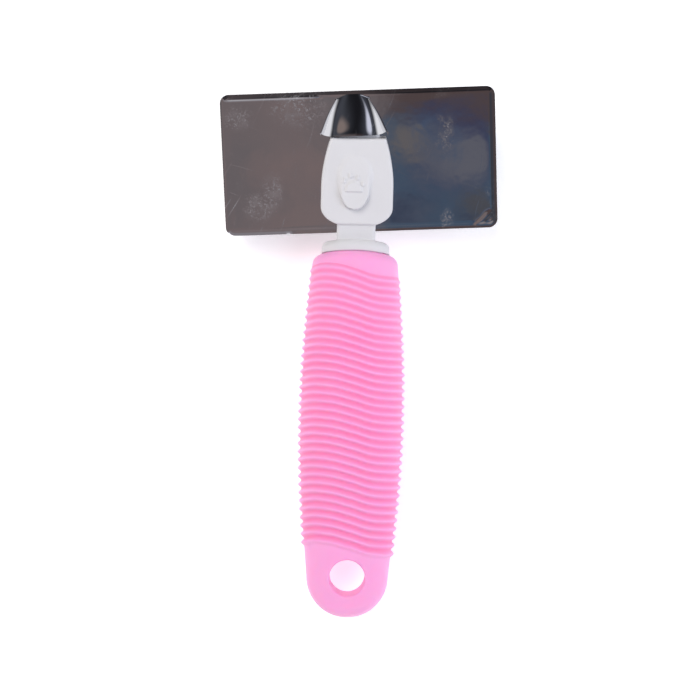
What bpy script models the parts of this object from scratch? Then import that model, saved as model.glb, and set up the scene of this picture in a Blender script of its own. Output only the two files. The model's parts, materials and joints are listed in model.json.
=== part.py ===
"""Slicker brush for grooming pets: a chromed steel tray full of bent wire pins on a ribbed rubber grip.

Frame, in metres: +Y runs along the handle from the hanging hole to the head, +X runs across and
+Z points out of the back of the head. The brush lies on its pins and on the belly of the grip, so
z = 0 is the surface that it rests on, and the origin is the middle of the space over that surface.
The lengths below are counted from the tip of the tail, where the handle's own frame starts.
"""

import math

import bmesh
import bpy
from mathutils import Matrix, Vector

CLEARANCE = 0.0003

# Steel tray. Its own frame has its origin on the middle of the back face, +Z out of the back.
HEAD_WIDTH = 0.0918
HEAD_LENGTH = 0.0476
TRAY_DEPTH = 0.0080
SHEET = 0.0006
FOLD_RADIUS = 0.0012
CORNER_RADIUS = 0.0030
CORNER_STEPS = 4
CORNER_NUB = 0.0010
LIP_WIDTH = 0.0016
HEAD_TILT = math.radians(12.0)
HEAD_YAW = math.radians(3.5)
HEAD_SHIFT = 0.0005

# Hood pressed out of the plate. Its mouth faces the handle and takes the tongue with room to spare.
HOOD_SHIFT = -0.0016
HOOD_LENGTH = 0.0134
HOOD_END_MARGIN = 0.0012
HOOD_ROOM_ABOVE = 0.0021
HOOD_ROOM_BESIDE = 0.0027
HOOD_ROOM_BEYOND = 0.0060
HOOD_ROWS = 6
HOOD_COLUMNS = 12

# Pin pad: rows of bent wire crowned behind a rubber-cloth fillet that floats on foam.
FILLET_THICKNESS = 0.0013
WIRE = 0.0005
ROWS = 10
PINS_PER_ROW = 18
FIELD_SIDE_MARGIN = 0.0063
FIELD_REAR_MARGIN = 0.0068
FIELD_FAR_MARGIN = 0.0048
PIN_STRAIGHT = 0.0056
PIN_HOOKED = 0.0062
PIN_HOOK_ANGLE = math.radians(27.0)

# Screws that hold the tray to the paddle from inside, at these distances from the hood's mouth.
SCREW_SETBACKS = (0.0200, 0.0090)
SCREW_SHANK_RADIUS = 0.0012
SCREW_HEAD_RADIUS = 0.0026
SCREW_HEAD_HEIGHT = 0.0014
SCREW_REACH = 0.0033

# White handle moulding: tongue, paddle with its thumb pad, shank, collar and core.
NECK_GAP = 0.0025
PADDLE_START = 0.0030
PADDLE_SHOULDER = 0.0088
PADDLE_CUT = math.radians(25.0)
PADDLE_WAIST = 0.0160
PADDLE_TAPER = 1.8
PADDLE_THICKNESS = 0.0044
PADDLE_HALF_WIDTH = 0.0121
PADDLE_TOP_HALF_WIDTH = 0.0092
PADDLE_EDGE = 0.0008
TONGUE_THICKNESS = 0.0030
TONGUE_HALF_WIDTH = 0.0080
TONGUE_ROOT = 0.0060
TONGUE_EDGE = 0.0010
THUMB_PAD_SHIFT = -0.0008
THUMB_PAD_SETBACK = 0.0052
THUMB_PAD_LENGTH = 0.0196
THUMB_PAD_WIDTH = 0.0126
THUMB_PAD_HEIGHT = 0.0012
SHANK_HALF_WIDTH = 0.0065
SHANK_KNEE = 0.0068
SHANK_SLOPE = math.radians(20.0)
SHANK_DEPTH = 0.0058
SHANK_EDGE = 0.0007
COLLAR_LENGTH = 0.0036
COLLAR_HALF_WIDTH = 0.0116
COLLAR_HALF_DEPTH = 0.0094
COLLAR_ROUNDING = 0.0024
CORE_HALF_WIDTH = 0.0070
CORE_HALF_DEPTH = 0.0052
CORE_TO_HOLE = 0.00925

# Pink rubber grip.
GRIP_FRONT_Y = 0.1242
GRIP_NECK_HALF_WIDTH = 0.0142
GRIP_NECK_HALF_DEPTH = 0.0112
GRIP_BELLY_Y = 0.0670
GRIP_BELLY_HALF_WIDTH = 0.0171
GRIP_BELLY_HALF_DEPTH = 0.0126
TAIL_RADIUS = 0.01385
TAIL_HALF_DEPTH = 0.0080
TAIL_FLATNESS = 1.36
LAND_END = 1.75
BELLY_FLAT = 0.0003
SHOULDER_ROUNDING = 0.0036
GRIP_SIDES = 20
HOLE_RADIUS = 0.0060
HOLE_RIM = 0.0009
HOLE_SIDES = 24
RIBS = 35
RIBS_TO_TAIL = 0.01245
RIBS_TO_FRONT = 0.0057
RIB_STRETCH = 0.05
RIB_HEIGHT = 0.0013
RIB_HEIGHT_NECK = 0.0007
RIB_FADE = 0.0300
RIB_SWING = 0.0045
RIB_STEEPNESS = 3.0
RIB_MIDDLE = 0.05
RIB_EDGE_DROP = 0.0014

GRIP_AXIS_Z = GRIP_BELLY_HALF_DEPTH + RIB_HEIGHT - BELLY_FLAT
REAR_EDGE_Y = GRIP_FRONT_Y + CLEARANCE + COLLAR_LENGTH + NECK_GAP
CORE_END_Y = TAIL_RADIUS + HOLE_RADIUS + HOLE_RIM + CORE_TO_HOLE
RIB_FIRST_Y = TAIL_RADIUS + RIBS_TO_TAIL
RIB_LAST_Y = GRIP_FRONT_Y - RIBS_TO_FRONT
HOOD_MOUTH = HEAD_LENGTH - HOOD_END_MARGIN - HOOD_LENGTH
HOOD_HEIGHT = CLEARANCE + TONGUE_THICKNESS + HOOD_ROOM_ABOVE + SHEET
HOOD_HALF_WIDTH = TONGUE_HALF_WIDTH + HOOD_ROOM_BESIDE + SHEET
TONGUE_LENGTH = HOOD_LENGTH - HOOD_ROOM_BEYOND
SCREW_STATIONS = [HOOD_MOUTH - setback for setback in SCREW_SETBACKS]
THUMB_PAD_MIDDLE = HOOD_MOUTH - THUMB_PAD_SETBACK - THUMB_PAD_LENGTH / 2
ROW_PITCH = (HEAD_LENGTH - FIELD_REAR_MARGIN - FIELD_FAR_MARGIN) / (ROWS - 1)
PIN_PITCH = (HEAD_WIDTH - 2 * FIELD_SIDE_MARGIN) / (PINS_PER_ROW - 1)
FILLET_FACE = TRAY_DEPTH - SHEET - CLEARANCE
FILLET_BACK = FILLET_FACE - FILLET_THICKNESS
CROWN_FACE = FILLET_BACK - CLEARANCE
CROWN_BACK = CROWN_FACE - WIRE
FOAM_FACE = CROWN_BACK - CLEARANCE
FOAM_BACK = SHEET + CLEARANCE
PIN_BEND = FILLET_FACE + PIN_STRAIGHT
PIN_TIP = PIN_BEND + PIN_HOOKED * math.cos(PIN_HOOK_ANGLE)
PIN_TIP_BACKSET = PIN_HOOKED * math.sin(PIN_HOOK_ANGLE)


def clear_scene():
    for obj in list(bpy.data.objects):
        bpy.data.objects.remove(obj, do_unlink=True)


def material(name, colour, roughness, metallic=0.0):
    """A plain Principled material."""
    made = bpy.data.materials.new(name)
    made.use_nodes = True
    shader = made.node_tree.nodes["Principled BSDF"]
    shader.inputs["Base Color"].default_value = (*colour, 1.0)
    shader.inputs["Roughness"].default_value = roughness
    shader.inputs["Metallic"].default_value = metallic
    made.diffuse_color = (*colour, 1.0)
    return made


def empty(name, location, rotation, parent=None):
    made = bpy.data.objects.new(name, None)
    made.location = location
    made.rotation_euler = rotation
    made.parent = parent
    bpy.context.scene.collection.objects.link(made)
    return made


def finish(name, shape, parent=None, surface=None):
    """Turns a bmesh into a linked object with outward faces, smooth where its faces nearly agree."""
    bmesh.ops.recalc_face_normals(shape, faces=shape.faces)
    mesh = bpy.data.meshes.new(name)
    shape.to_mesh(mesh)
    shape.free()
    mesh.shade_smooth()
    mesh.set_sharp_from_angle(angle=math.radians(35.0))
    made = bpy.data.objects.new(name, mesh)
    made.parent = parent
    bpy.context.scene.collection.objects.link(made)
    if surface:
        mesh.materials.append(surface)
    return made


def combine(target, helper, operation):
    """Joins a helper to the target, or cuts it away, and leaves the helper out of the model."""
    change = target.modifiers.new(operation.lower() + "_" + helper.name, "BOOLEAN")
    change.operation = operation
    change.object = helper
    helper.hide_render = True
    helper.display_type = "WIRE"


def loft(shape, rings):
    """Skins closed rings that all have the same number of points, and caps both ends."""
    loops = [[shape.verts.new(point) for point in ring] for ring in rings]
    count = len(loops[0])
    for low, high in zip(loops, loops[1:]):
        for i in range(count):
            j = (i + 1) % count
            shape.faces.new((low[i], low[j], high[j], high[i]))
    shape.faces.new(loops[0])
    shape.faces.new(loops[-1])


def rounded_rectangle(half_x, half_y, radius, steps, bulge=0.0):
    """Points round a rectangle with round corners. Bulge pushes the corners out along their diagonals."""
    points = []
    for corner in range(4):
        start = corner * math.pi / 2
        side_x = 1.0 if corner in (0, 3) else -1.0
        side_y = 1.0 if corner in (0, 1) else -1.0
        for step in range(steps + 1):
            turn = start + step / steps * math.pi / 2
            push = bulge * math.sin(step / steps * math.pi)
            x = side_x * (half_x - radius) + (radius + push) * math.cos(turn)
            y = side_y * (half_y - radius) + (radius + push) * math.sin(turn)
            points.append((x, y))
    return points


def tray_ring(inset, depth, bulge=0.0):
    """One outline of the tray at a depth below the back face."""
    radius = max(CORNER_RADIUS - inset, SHEET)
    outline = rounded_rectangle(
        HEAD_WIDTH / 2 - inset, HEAD_LENGTH / 2 - inset, radius, CORNER_STEPS, bulge
    )
    return [(x, y, -depth) for x, y in outline]


def slab(half_x, half_y, radius, back, face):
    """A flat sheet between two depths below the back face."""
    shape = bmesh.new()
    outline = rounded_rectangle(half_x, half_y, radius, CORNER_STEPS)
    loft(shape, [[(x, y, -depth) for x, y in outline] for depth in (back, face)])
    return shape


def disc_stack(sections, sides):
    """A turned solid about Z. Each section is (height, radius)."""
    shape = bmesh.new()
    rings = []
    for height, radius in sections:
        turns = [2 * math.pi * i / sides for i in range(sides)]
        rings.append([(radius * math.cos(t), radius * math.sin(t), height) for t in turns])
    loft(shape, rings)
    return shape


def hood_half_width(along):
    """Half the width of the hood, from its mouth at 0 to its closed end at 1."""
    return HOOD_HALF_WIDTH * (1.0 - 0.40 * along - 0.26 * along**3)


def hood_height(along):
    """Height of the hood over the plate. It falls like a wedge to its closed end."""
    return HOOD_HEIGHT * (1.0 - along**1.5)


def hood_solid(name, thinner, mouth_overrun, floor, parent):
    """The hood as a solid. A positive thinner shrinks it to the hollow that the tongue fits in."""
    shape = bmesh.new()
    rings = []
    stations = [math.sin(i / HOOD_ROWS * math.pi / 2) * 0.985 for i in range(HOOD_ROWS + 1)]
    if mouth_overrun:
        stations.insert(0, None)
    length = HOOD_LENGTH - thinner
    for station in stations:
        along = station or 0.0
        half_width = max(hood_half_width(along) - thinner, SHEET)
        height = max(hood_height(along) - thinner, 0.3 * SHEET)
        y = -mouth_overrun if station is None else along * length
        ring = [(half_width, y, floor)]
        for j in range(HOOD_COLUMNS + 1):
            turn = j / HOOD_COLUMNS * math.pi
            flat = abs(math.sin(turn)) ** 0.8
            ring.append((half_width * math.cos(turn), y, height * flat))
        ring.append((-half_width, y, floor))
        rings.append(ring)
    loft(shape, rings)
    return finish(name, shape, parent)


def head_shell(head_frame, neck_frame, chrome):
    """The tray with its rounded fold, its inward lip and its hood."""
    half_fold = FOLD_RADIUS * (1.0 - math.sqrt(0.5))
    wall_end = TRAY_DEPTH - SHEET / 2
    rings = [
        tray_ring(FOLD_RADIUS, 0.0),
        tray_ring(half_fold, half_fold),
        tray_ring(0.0, FOLD_RADIUS),
        tray_ring(0.0, TRAY_DEPTH / 2, CORNER_NUB),
        tray_ring(0.0, wall_end, CORNER_NUB),
        tray_ring(SHEET / 2, TRAY_DEPTH, CORNER_NUB / 2),
        tray_ring(LIP_WIDTH, TRAY_DEPTH),
        tray_ring(LIP_WIDTH, TRAY_DEPTH - SHEET),
        tray_ring(SHEET, TRAY_DEPTH - SHEET),
        tray_ring(SHEET, FOLD_RADIUS),
        tray_ring(FOLD_RADIUS, SHEET),
    ]
    shape = bmesh.new()
    loft(shape, rings)
    shell = finish("head_shell", shape, head_frame, chrome)
    hood_frame = empty(
        "hood_frame", (HOOD_SHIFT, HOOD_MOUTH - HEAD_LENGTH / 2, 0.0), (0, 0, 0), head_frame
    )
    outer = hood_solid("hood_outer", 0.0, 0.0, -SHEET / 2, hood_frame)
    inner = hood_solid("hood_hollow", SHEET, SHEET, -2 * SHEET, hood_frame)
    combine(shell, outer, "UNION")
    combine(shell, inner, "DIFFERENCE")
    for number, station in enumerate(SCREW_STATIONS, 1):
        hole = disc_stack(
            ((-2 * SHEET, SCREW_SHANK_RADIUS + CLEARANCE), (SHEET, SCREW_SHANK_RADIUS + CLEARANCE)), 16
        )
        cutter = finish(f"plate_hole_{number}", hole, neck_frame)
        cutter.location = (0.0, station, 0.0)
        combine(shell, cutter, "DIFFERENCE")
    return shell


def foam_cushion(head_frame, neck_frame, foam):
    """Foam between the plate and the crowns, with a pocket for each screw head."""
    inset = SHEET + CLEARANCE
    shape = slab(
        HEAD_WIDTH / 2 - inset - CLEARANCE,
        HEAD_LENGTH / 2 - inset - CLEARANCE,
        CORNER_RADIUS - inset,
        FOAM_BACK,
        FOAM_FACE,
    )
    cushion = finish("foam_cushion", shape, head_frame, foam)
    pocket_floor = SHEET + CLEARANCE + SCREW_HEAD_HEIGHT + CLEARANCE
    for number, station in enumerate(SCREW_STATIONS, 1):
        radius = SCREW_HEAD_RADIUS + CLEARANCE
        pocket = disc_stack(((-pocket_floor, radius), (0.0, radius)), 16)
        cutter = finish(f"foam_pocket_{number}", pocket, neck_frame)
        cutter.location = (0.0, station, 0.0)
        combine(cushion, cutter, "DIFFERENCE")
    return cushion


def row_places(row):
    """The places of the pins along a row. Every second row is staggered by half a pitch."""
    count = PINS_PER_ROW - row % 2
    return [(i - (count - 1) / 2) * PIN_PITCH for i in range(count)]


def row_station(row):
    return FIELD_REAR_MARGIN - HEAD_LENGTH / 2 + row * ROW_PITCH


def pin_fillet(slide_frame, rubber):
    """The rubber-cloth sheet that the wires stand in, open along each row of wires."""
    inset = SHEET + CLEARANCE
    shape = slab(
        HEAD_WIDTH / 2 - inset - CLEARANCE,
        HEAD_LENGTH / 2 - inset - CLEARANCE,
        CORNER_RADIUS - inset,
        FILLET_BACK,
        FILLET_FACE,
    )
    fillet = finish("pin_fillet", shape, slide_frame, rubber)
    cutters = bmesh.new()
    for row in range(ROWS):
        reach = abs(row_places(row)[0]) + WIRE / 2 + CLEARANCE
        half = WIRE / 2 + CLEARANCE
        size = Vector((2 * reach, 2 * half, 2 * FILLET_THICKNESS))
        middle = Vector((0.0, row_station(row), -(FILLET_BACK + FILLET_FACE) / 2))
        place = Matrix.Translation(middle) @ Matrix.Diagonal(size).to_4x4()
        bmesh.ops.create_cube(cutters, size=1.0, matrix=place)
    combine(fillet, finish("fillet_slits", cutters, slide_frame), "DIFFERENCE")
    return fillet


def pin_row(row, slide_frame, steel):
    """One row: a crown wire behind the fillet and its pins, each hooked back toward the handle."""
    half = WIRE / 2
    y = row_station(row)
    places = row_places(row)
    edges = sorted([x - half for x in places] + [x + half for x in places])
    corners = ((y - half, -CROWN_FACE), (y + half, -CROWN_FACE), (y + half, -CROWN_BACK), (y - half, -CROWN_BACK))
    shape = bmesh.new()
    rings = [[shape.verts.new((x, *corner)) for corner in corners] for x in edges]
    for index, (left, right) in enumerate(zip(rings, rings[1:])):
        for i in range(4):
            j = (i + 1) % 4
            if i == 0 and index % 2 == 0:
                add_pin(shape, (left[0], left[1], right[1], right[0]), y)
            else:
                shape.faces.new((left[i], left[j], right[j], right[i]))
    shape.faces.new(rings[0])
    shape.faces.new(rings[-1])
    return finish(f"pin_row_{row + 1:02d}", shape, slide_frame, steel)


def add_pin(shape, root, y):
    """Runs a square wire from four corners of the crown to its bend and on to its blunt tip."""
    levels = ((0.0, PIN_BEND), (-PIN_TIP_BACKSET, PIN_TIP))
    below = root
    for backset, depth in levels:
        above = tuple(shape.verts.new((v.co.x, v.co.y + backset, -depth)) for v in root)
        for i in range(4):
            j = (i + 1) % 4
            shape.faces.new((below[i], below[j], above[j], above[i]))
        below = above
    shape.faces.new(below)


def neck_screw(number, station, neck_frame, steel):
    """A pan-head screw from inside the tray up into the paddle."""
    bearing = -SHEET - CLEARANCE
    sections = (
        (bearing - SCREW_HEAD_HEIGHT, 0.7 * SCREW_HEAD_RADIUS),
        (bearing - 0.5 * SCREW_HEAD_HEIGHT, SCREW_HEAD_RADIUS),
        (bearing, SCREW_HEAD_RADIUS),
        (bearing, SCREW_SHANK_RADIUS),
        (SCREW_REACH - SCREW_SHANK_RADIUS, SCREW_SHANK_RADIUS),
        (SCREW_REACH, 0.3 * SCREW_SHANK_RADIUS),
    )
    screw = finish(f"neck_screw_{number}", disc_stack(sections, 12), neck_frame, steel)
    screw.location = (0.0, station, 0.0)
    return screw


def paddle_outline():
    """Half of the paddle's outline as (half width, distance from the plate's rear edge)."""
    end = HOOD_MOUTH - CLEARANCE - PADDLE_TOP_HALF_WIDTH * math.sin(HEAD_YAW)
    points = []
    for step in range(6):
        turn = PADDLE_CUT + step / 5 * (math.pi / 2 - PADDLE_CUT)
        spread = (math.sin(turn) - math.sin(PADDLE_CUT)) / (1.0 - math.sin(PADDLE_CUT))
        rise = 1.0 - math.cos(turn) / math.cos(PADDLE_CUT)
        half = SHANK_HALF_WIDTH + (PADDLE_HALF_WIDTH - SHANK_HALF_WIDTH) * spread
        points.append((half, PADDLE_START + (PADDLE_SHOULDER - PADDLE_START) * rise))
    for step in range(6):
        along = step / 5
        taper = (PADDLE_HALF_WIDTH - PADDLE_TOP_HALF_WIDTH) * along**PADDLE_TAPER
        points.append((PADDLE_HALF_WIDTH - taper, PADDLE_WAIST + (end - PADDLE_WAIST) * along))
    return points


def paddle(neck_frame):
    """The flat paddle that lies on the plate, with its upper edge rounded."""
    right = paddle_outline()
    outline = right + [(-x, y) for x, y in reversed(right)]
    shape = bmesh.new()
    middle = sum(y for _, y in outline) / len(outline)
    rings = []
    top = CLEARANCE + PADDLE_THICKNESS
    edge = PADDLE_EDGE
    levels = ((0.0, CLEARANCE), (0.0, top - edge), (0.3 * edge, top - 0.3 * edge), (edge, top))
    for inset, height in levels:
        shrink_x = 1.0 - inset / PADDLE_HALF_WIDTH
        shrink_y = 1.0 - inset / (HOOD_MOUTH / 2)
        rings.append([(x * shrink_x, middle + (y - middle) * shrink_y, height) for x, y in outline])
    loft(shape, rings)
    return finish("paddle_slab", shape, neck_frame)


def tongue(neck_frame):
    """The tongue that carries on from the paddle under the hood."""
    shape = bmesh.new()
    rings = []
    for along, width, height in ((0.0, 1.0, 1.02), (0.45, 0.88, 0.94), (1.0, 0.46, 0.50)):
        y = HOOD_MOUTH - TONGUE_ROOT + along * (TONGUE_ROOT + TONGUE_LENGTH)
        half = TONGUE_HALF_WIDTH * width
        low = 2 * CLEARANCE
        high = CLEARANCE + TONGUE_THICKNESS * height
        section = ((half, low), (half, high - TONGUE_EDGE), (half - TONGUE_EDGE, high))
        ring = [(x, y, z) for x, z in section] + [(-x, y, z) for x, z in reversed(section)]
        rings.append(ring)
    loft(shape, rings)
    return finish("tongue_bar", shape, neck_frame)


def thumb_pad(neck_frame):
    """A raised oval that fades into the paddle at its far end and stands proud at its near end."""
    shape = bmesh.new()
    base = CLEARANCE + PADDLE_THICKNESS
    rings = []
    for share, level in ((1.0, -0.5), (1.0, 0.55), (0.93, 0.85), (0.80, 1.0)):
        ring = []
        for i in range(28):
            turn = 2 * math.pi * i / 28
            x = share * THUMB_PAD_WIDTH / 2 * math.cos(turn)
            y = share * THUMB_PAD_LENGTH / 2 * math.sin(turn)
            near = 0.5 - y / THUMB_PAD_LENGTH
            height = THUMB_PAD_HEIGHT * (0.25 + 0.75 * near)
            ring.append((x, y, height * level))
        rings.append(ring)
    loft(shape, rings)
    pad = finish("thumb_pad_oval", shape, neck_frame)
    pad.location = (THUMB_PAD_SHIFT, THUMB_PAD_MIDDLE, base)
    return pad


def oval_ring(half_x, half_z, y, sides, power=2.6):
    """A superellipse round the handle's axis."""
    points = []
    for i in range(sides):
        turn = 2 * math.pi * i / sides
        x = half_x * math.copysign(abs(math.sin(turn)) ** (2 / power), math.sin(turn))
        z = half_z * math.copysign(abs(math.cos(turn)) ** (2 / power), math.cos(turn))
        points.append((x, y, GRIP_AXIS_Z + z))
    return points


def collar(brush_frame):
    """The round-edged collar that closes the front of the grip."""
    back = GRIP_FRONT_Y + CLEARANCE
    shape = bmesh.new()
    rings = [oval_ring(COLLAR_HALF_WIDTH, COLLAR_HALF_DEPTH, back, 24)]
    for step in range(5):
        turn = step / 4 * math.radians(80.0)
        inset = COLLAR_ROUNDING * (1.0 - math.cos(turn))
        y = back + COLLAR_LENGTH - COLLAR_ROUNDING * (1.0 - math.sin(turn))
        rings.append(oval_ring(COLLAR_HALF_WIDTH - inset, COLLAR_HALF_DEPTH - inset, y, 24))
    loft(shape, rings)
    return finish("collar_ring", shape, brush_frame)


def shank(brush_frame, rear_z):
    """The bar from the collar up onto the paddle. It passes over the plate's rear edge."""
    top_at_knee = rear_z + (CLEARANCE + PADDLE_THICKNESS) * math.cos(HEAD_TILT)
    top_at_knee += SHANK_KNEE * math.tan(HEAD_TILT)
    knee_y = REAR_EDGE_Y + SHANK_KNEE
    start_y = GRIP_FRONT_Y + CLEARANCE + 0.3 * COLLAR_LENGTH
    lift_y = REAR_EDGE_Y - 4 * CLEARANCE
    plate_top = rear_z + 1.5 * CLEARANCE
    shape = bmesh.new()
    rings = []
    for y in (start_y, lift_y, REAR_EDGE_Y, knee_y):
        top = top_at_knee - (knee_y - y) * math.tan(SHANK_SLOPE) - 0.25 * CLEARANCE
        over_plate = plate_top + max(y - REAR_EDGE_Y, 0.0) * math.tan(HEAD_TILT)
        low = over_plate if y > lift_y else top - SHANK_DEPTH
        if y == lift_y:
            low = max(top - SHANK_DEPTH, plate_top - FOLD_RADIUS)
        half = SHANK_HALF_WIDTH
        section = ((half, low), (half, top - SHANK_EDGE), (half - SHANK_EDGE, top))
        ring = [(x, y, z) for x, z in section] + [(-x, y, z) for x, z in reversed(section)]
        rings.append(ring)
    loft(shape, rings)
    return finish("shank_bar", shape, brush_frame)


def handle_core(brush_frame, neck_frame, rear_z, white):
    """The one white moulding, from the tongue under the hood to the core inside the grip."""
    shape = bmesh.new()
    ends = (CORE_END_Y, GRIP_FRONT_Y + CLEARANCE + 0.5 * COLLAR_LENGTH)
    outline = rounded_rectangle(CORE_HALF_WIDTH, CORE_HALF_DEPTH, 0.3 * CORE_HALF_DEPTH, 3)
    loft(shape, [[(x, y, GRIP_AXIS_Z + z) for x, z in outline] for y in ends])
    core = finish("handle_core", shape, brush_frame, white)
    near = (collar(brush_frame), shank(brush_frame, rear_z))
    far = (paddle(neck_frame), tongue(neck_frame), thumb_pad(neck_frame))
    for piece in near + far:
        combine(core, piece, "UNION")
    for number, station in enumerate(SCREW_STATIONS, 1):
        radius = SCREW_SHANK_RADIUS + CLEARANCE
        bore = disc_stack(((-SHEET, radius), (SCREW_REACH + CLEARANCE, radius)), 16)
        cutter = finish(f"paddle_bore_{number}", bore, neck_frame)
        cutter.location = (0.0, station, 0.0)
        combine(core, cutter, "DIFFERENCE")
    return core


def swell(y, tail, belly, neck):
    """A half size of the grip: it swells from the tail to the belly and draws in to the neck."""
    if y < GRIP_BELLY_Y:
        share = max(y - TAIL_RADIUS, 0.0) / (GRIP_BELLY_Y - TAIL_RADIUS)
        return tail + (belly - tail) * math.sin(share * math.pi / 2)
    share = (y - GRIP_BELLY_Y) / (GRIP_FRONT_Y - GRIP_BELLY_Y)
    return neck + (belly - neck) * math.cos(min(share, 1.0) * math.pi / 2)


def grip_half_depth(y):
    """Half the grip's depth. The tail stays flat for the length of the land round the hole."""
    land_end = LAND_END * TAIL_RADIUS
    if y < land_end:
        return TAIL_HALF_DEPTH
    if y < GRIP_BELLY_Y:
        share = (y - land_end) / (GRIP_BELLY_Y - land_end)
        return TAIL_HALF_DEPTH + (GRIP_BELLY_HALF_DEPTH - TAIL_HALF_DEPTH) * math.sin(share * math.pi / 2)
    return swell(y, TAIL_HALF_DEPTH, GRIP_BELLY_HALF_DEPTH, GRIP_NECK_HALF_DEPTH)


def grip_point(y, turn, proud=0.0, inset=0.0):
    """A point of the grip's surface at an angle from the top. The tail has a flat land round its hole,
    and the ribs that the brush lies on are pressed flat."""
    half_x = swell(y, TAIL_RADIUS, GRIP_BELLY_HALF_WIDTH, GRIP_NECK_HALF_WIDTH)
    if y < TAIL_RADIUS:
        half_x = math.sqrt(max(TAIL_RADIUS**2 - (TAIL_RADIUS - y) ** 2, 0.0))
    half_z = grip_half_depth(y)
    past_land = min(max((y - LAND_END * TAIL_RADIUS) / RIB_SWING, 0.0), 1.0)
    flatness = TAIL_FLATNESS + (1.0 - TAIL_FLATNESS) * past_land
    x = math.copysign(abs(math.sin(turn)) ** 0.86, math.sin(turn))
    z = math.copysign(min(flatness * abs(math.cos(turn)) ** 0.86, 1.0), math.cos(turn))
    height = GRIP_AXIS_Z + z * (half_z + proud - inset)
    return (x * (half_x + proud - inset), y, max(height, 0.0))


def rib_height(y):
    share = min(max((RIB_LAST_Y - y) / RIB_FADE, 0.0), 1.0)
    return RIB_HEIGHT_NECK + (RIB_HEIGHT - RIB_HEIGHT_NECK) * share


def rib_drop(turn):
    """How far a rib lies toward the tail at an angle from the top. Both faces carry the same S."""
    across = math.sin(turn)
    drop = RIB_SWING / 2 * (1.0 + math.tanh(RIB_STEEPNESS * (across - RIB_MIDDLE)))
    return drop + RIB_EDGE_DROP * max((-across - 0.6) / 0.4, 0.0) ** 2


def rib_place(number):
    """Where a rib lies, counted from the head. The ribs spread out toward the tail."""
    share = number / (RIBS - 1)
    return RIB_LAST_Y - (RIB_LAST_Y - RIB_FIRST_Y) * share * (1.0 - RIB_STRETCH + RIB_STRETCH * share)


def grip_ring(y, proud=0.0, inset=0.0, wave=0.0):
    points = []
    for i in range(GRIP_SIDES):
        turn = 2 * math.pi * (i + 0.5) / GRIP_SIDES
        there = y - wave * rib_drop(turn)
        points.append(grip_point(there, turn, proud, inset))
    return points


def tail_rings():
    """Rings round the half-round end, thinner toward its tip and stretched so that the tip is at 0."""
    rings = []
    stations = ((14, 0.45), (26, 0.18), (36, 0.06), (46, 0.0), (66, 0.0), (90, 0.0))
    blunt = TAIL_RADIUS * (1.0 - math.cos(math.radians(stations[0][0])))
    stretch = TAIL_RADIUS / (TAIL_RADIUS - blunt)
    for degrees, thinner in stations:
        ring = []
        for x, y, z in grip_ring(TAIL_RADIUS * (1.0 - math.cos(math.radians(degrees)))):
            ring.append((x, (y - blunt) * stretch, GRIP_AXIS_Z + (z - GRIP_AXIS_Z) * (1.0 - thinner)))
        rings.append(ring)
    return rings


def grip_sleeve(brush_frame, rubber):
    """The rubber grip: a wave-ribbed barrel, a flat-sided tail with its hole, and a bore for the core."""
    rings = tail_rings()
    rings.append(grip_ring((TAIL_RADIUS + rib_place(RIBS - 0.5) - RIB_SWING) / 2))
    for rib in reversed(range(RIBS)):
        y = rib_place(rib)
        rings.append(grip_ring(rib_place(rib + 0.5), wave=1.0))
        rings.append(grip_ring(y, proud=rib_height(y), wave=1.0))
    rings.append(grip_ring(rib_place(-0.5), wave=1.0))
    for step in range(4):
        turn = step / 3 * math.pi / 2
        inset = SHOULDER_ROUNDING * (1.0 - math.cos(turn))
        rings.append(grip_ring(GRIP_FRONT_Y - SHOULDER_ROUNDING * (1.0 - math.sin(turn)), inset=inset))
    shape = bmesh.new()
    loft(shape, rings)
    sleeve = finish("grip_sleeve", shape, brush_frame, rubber)

    bore = bmesh.new()
    gap = CLEARANCE
    outline = rounded_rectangle(CORE_HALF_WIDTH + gap, CORE_HALF_DEPTH + gap, 0.3 * CORE_HALF_DEPTH, 3)
    ends = (CORE_END_Y - gap, GRIP_FRONT_Y + 4 * gap)
    loft(bore, [[(x, y, GRIP_AXIS_Z + z) for x, z in outline] for y in ends])
    combine(sleeve, finish("core_bore", bore, brush_frame), "DIFFERENCE")

    reach = TAIL_HALF_DEPTH + HOLE_RIM
    sections = (
        (-reach, HOLE_RADIUS + 2 * HOLE_RIM),
        (-TAIL_HALF_DEPTH + HOLE_RIM, HOLE_RADIUS),
        (TAIL_HALF_DEPTH - HOLE_RIM, HOLE_RADIUS),
        (reach, HOLE_RADIUS + 2 * HOLE_RIM),
    )
    hole = finish("hanging_hole", disc_stack(sections, HOLE_SIDES), brush_frame)
    hole.location = (0.0, TAIL_RADIUS, GRIP_AXIS_Z)
    combine(sleeve, hole, "DIFFERENCE")
    return sleeve


def lowest_tip():
    """How far below the plate's rear edge the lowest pin tip reaches, for the frames below."""
    tilt = Matrix.Rotation(HEAD_TILT, 3, "X")
    yaw = Matrix.Rotation(HEAD_YAW, 3, "Z")
    middle = Vector((HEAD_SHIFT, HEAD_LENGTH / 2, 0.0))
    heights = []
    for row in range(ROWS):
        for x in row_places(row):
            y = row_station(row) - WIRE / 2 - PIN_TIP_BACKSET
            heights.append((tilt @ (middle + yaw @ Vector((x, y, -PIN_TIP)))).z)
    return min(heights)


def brush_middle(rear_z):
    """The middle of the brush's length and width, from the tip of the tail and the outline of the tray."""
    to_neck = Matrix.Translation((0.0, REAR_EDGE_Y, rear_z)) @ Matrix.Rotation(HEAD_TILT, 4, "X")
    to_head = Matrix.Translation((HEAD_SHIFT, HEAD_LENGTH / 2, 0.0)) @ Matrix.Rotation(HEAD_YAW, 4, "Z")
    outline = [to_neck @ to_head @ Vector(point) for point in tray_ring(0.0, TRAY_DEPTH - SHEET / 2, CORNER_NUB)]
    across = [point.x for point in outline]
    return (min(across) + max(across)) / 2, max(point.y for point in outline) / 2


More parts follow.
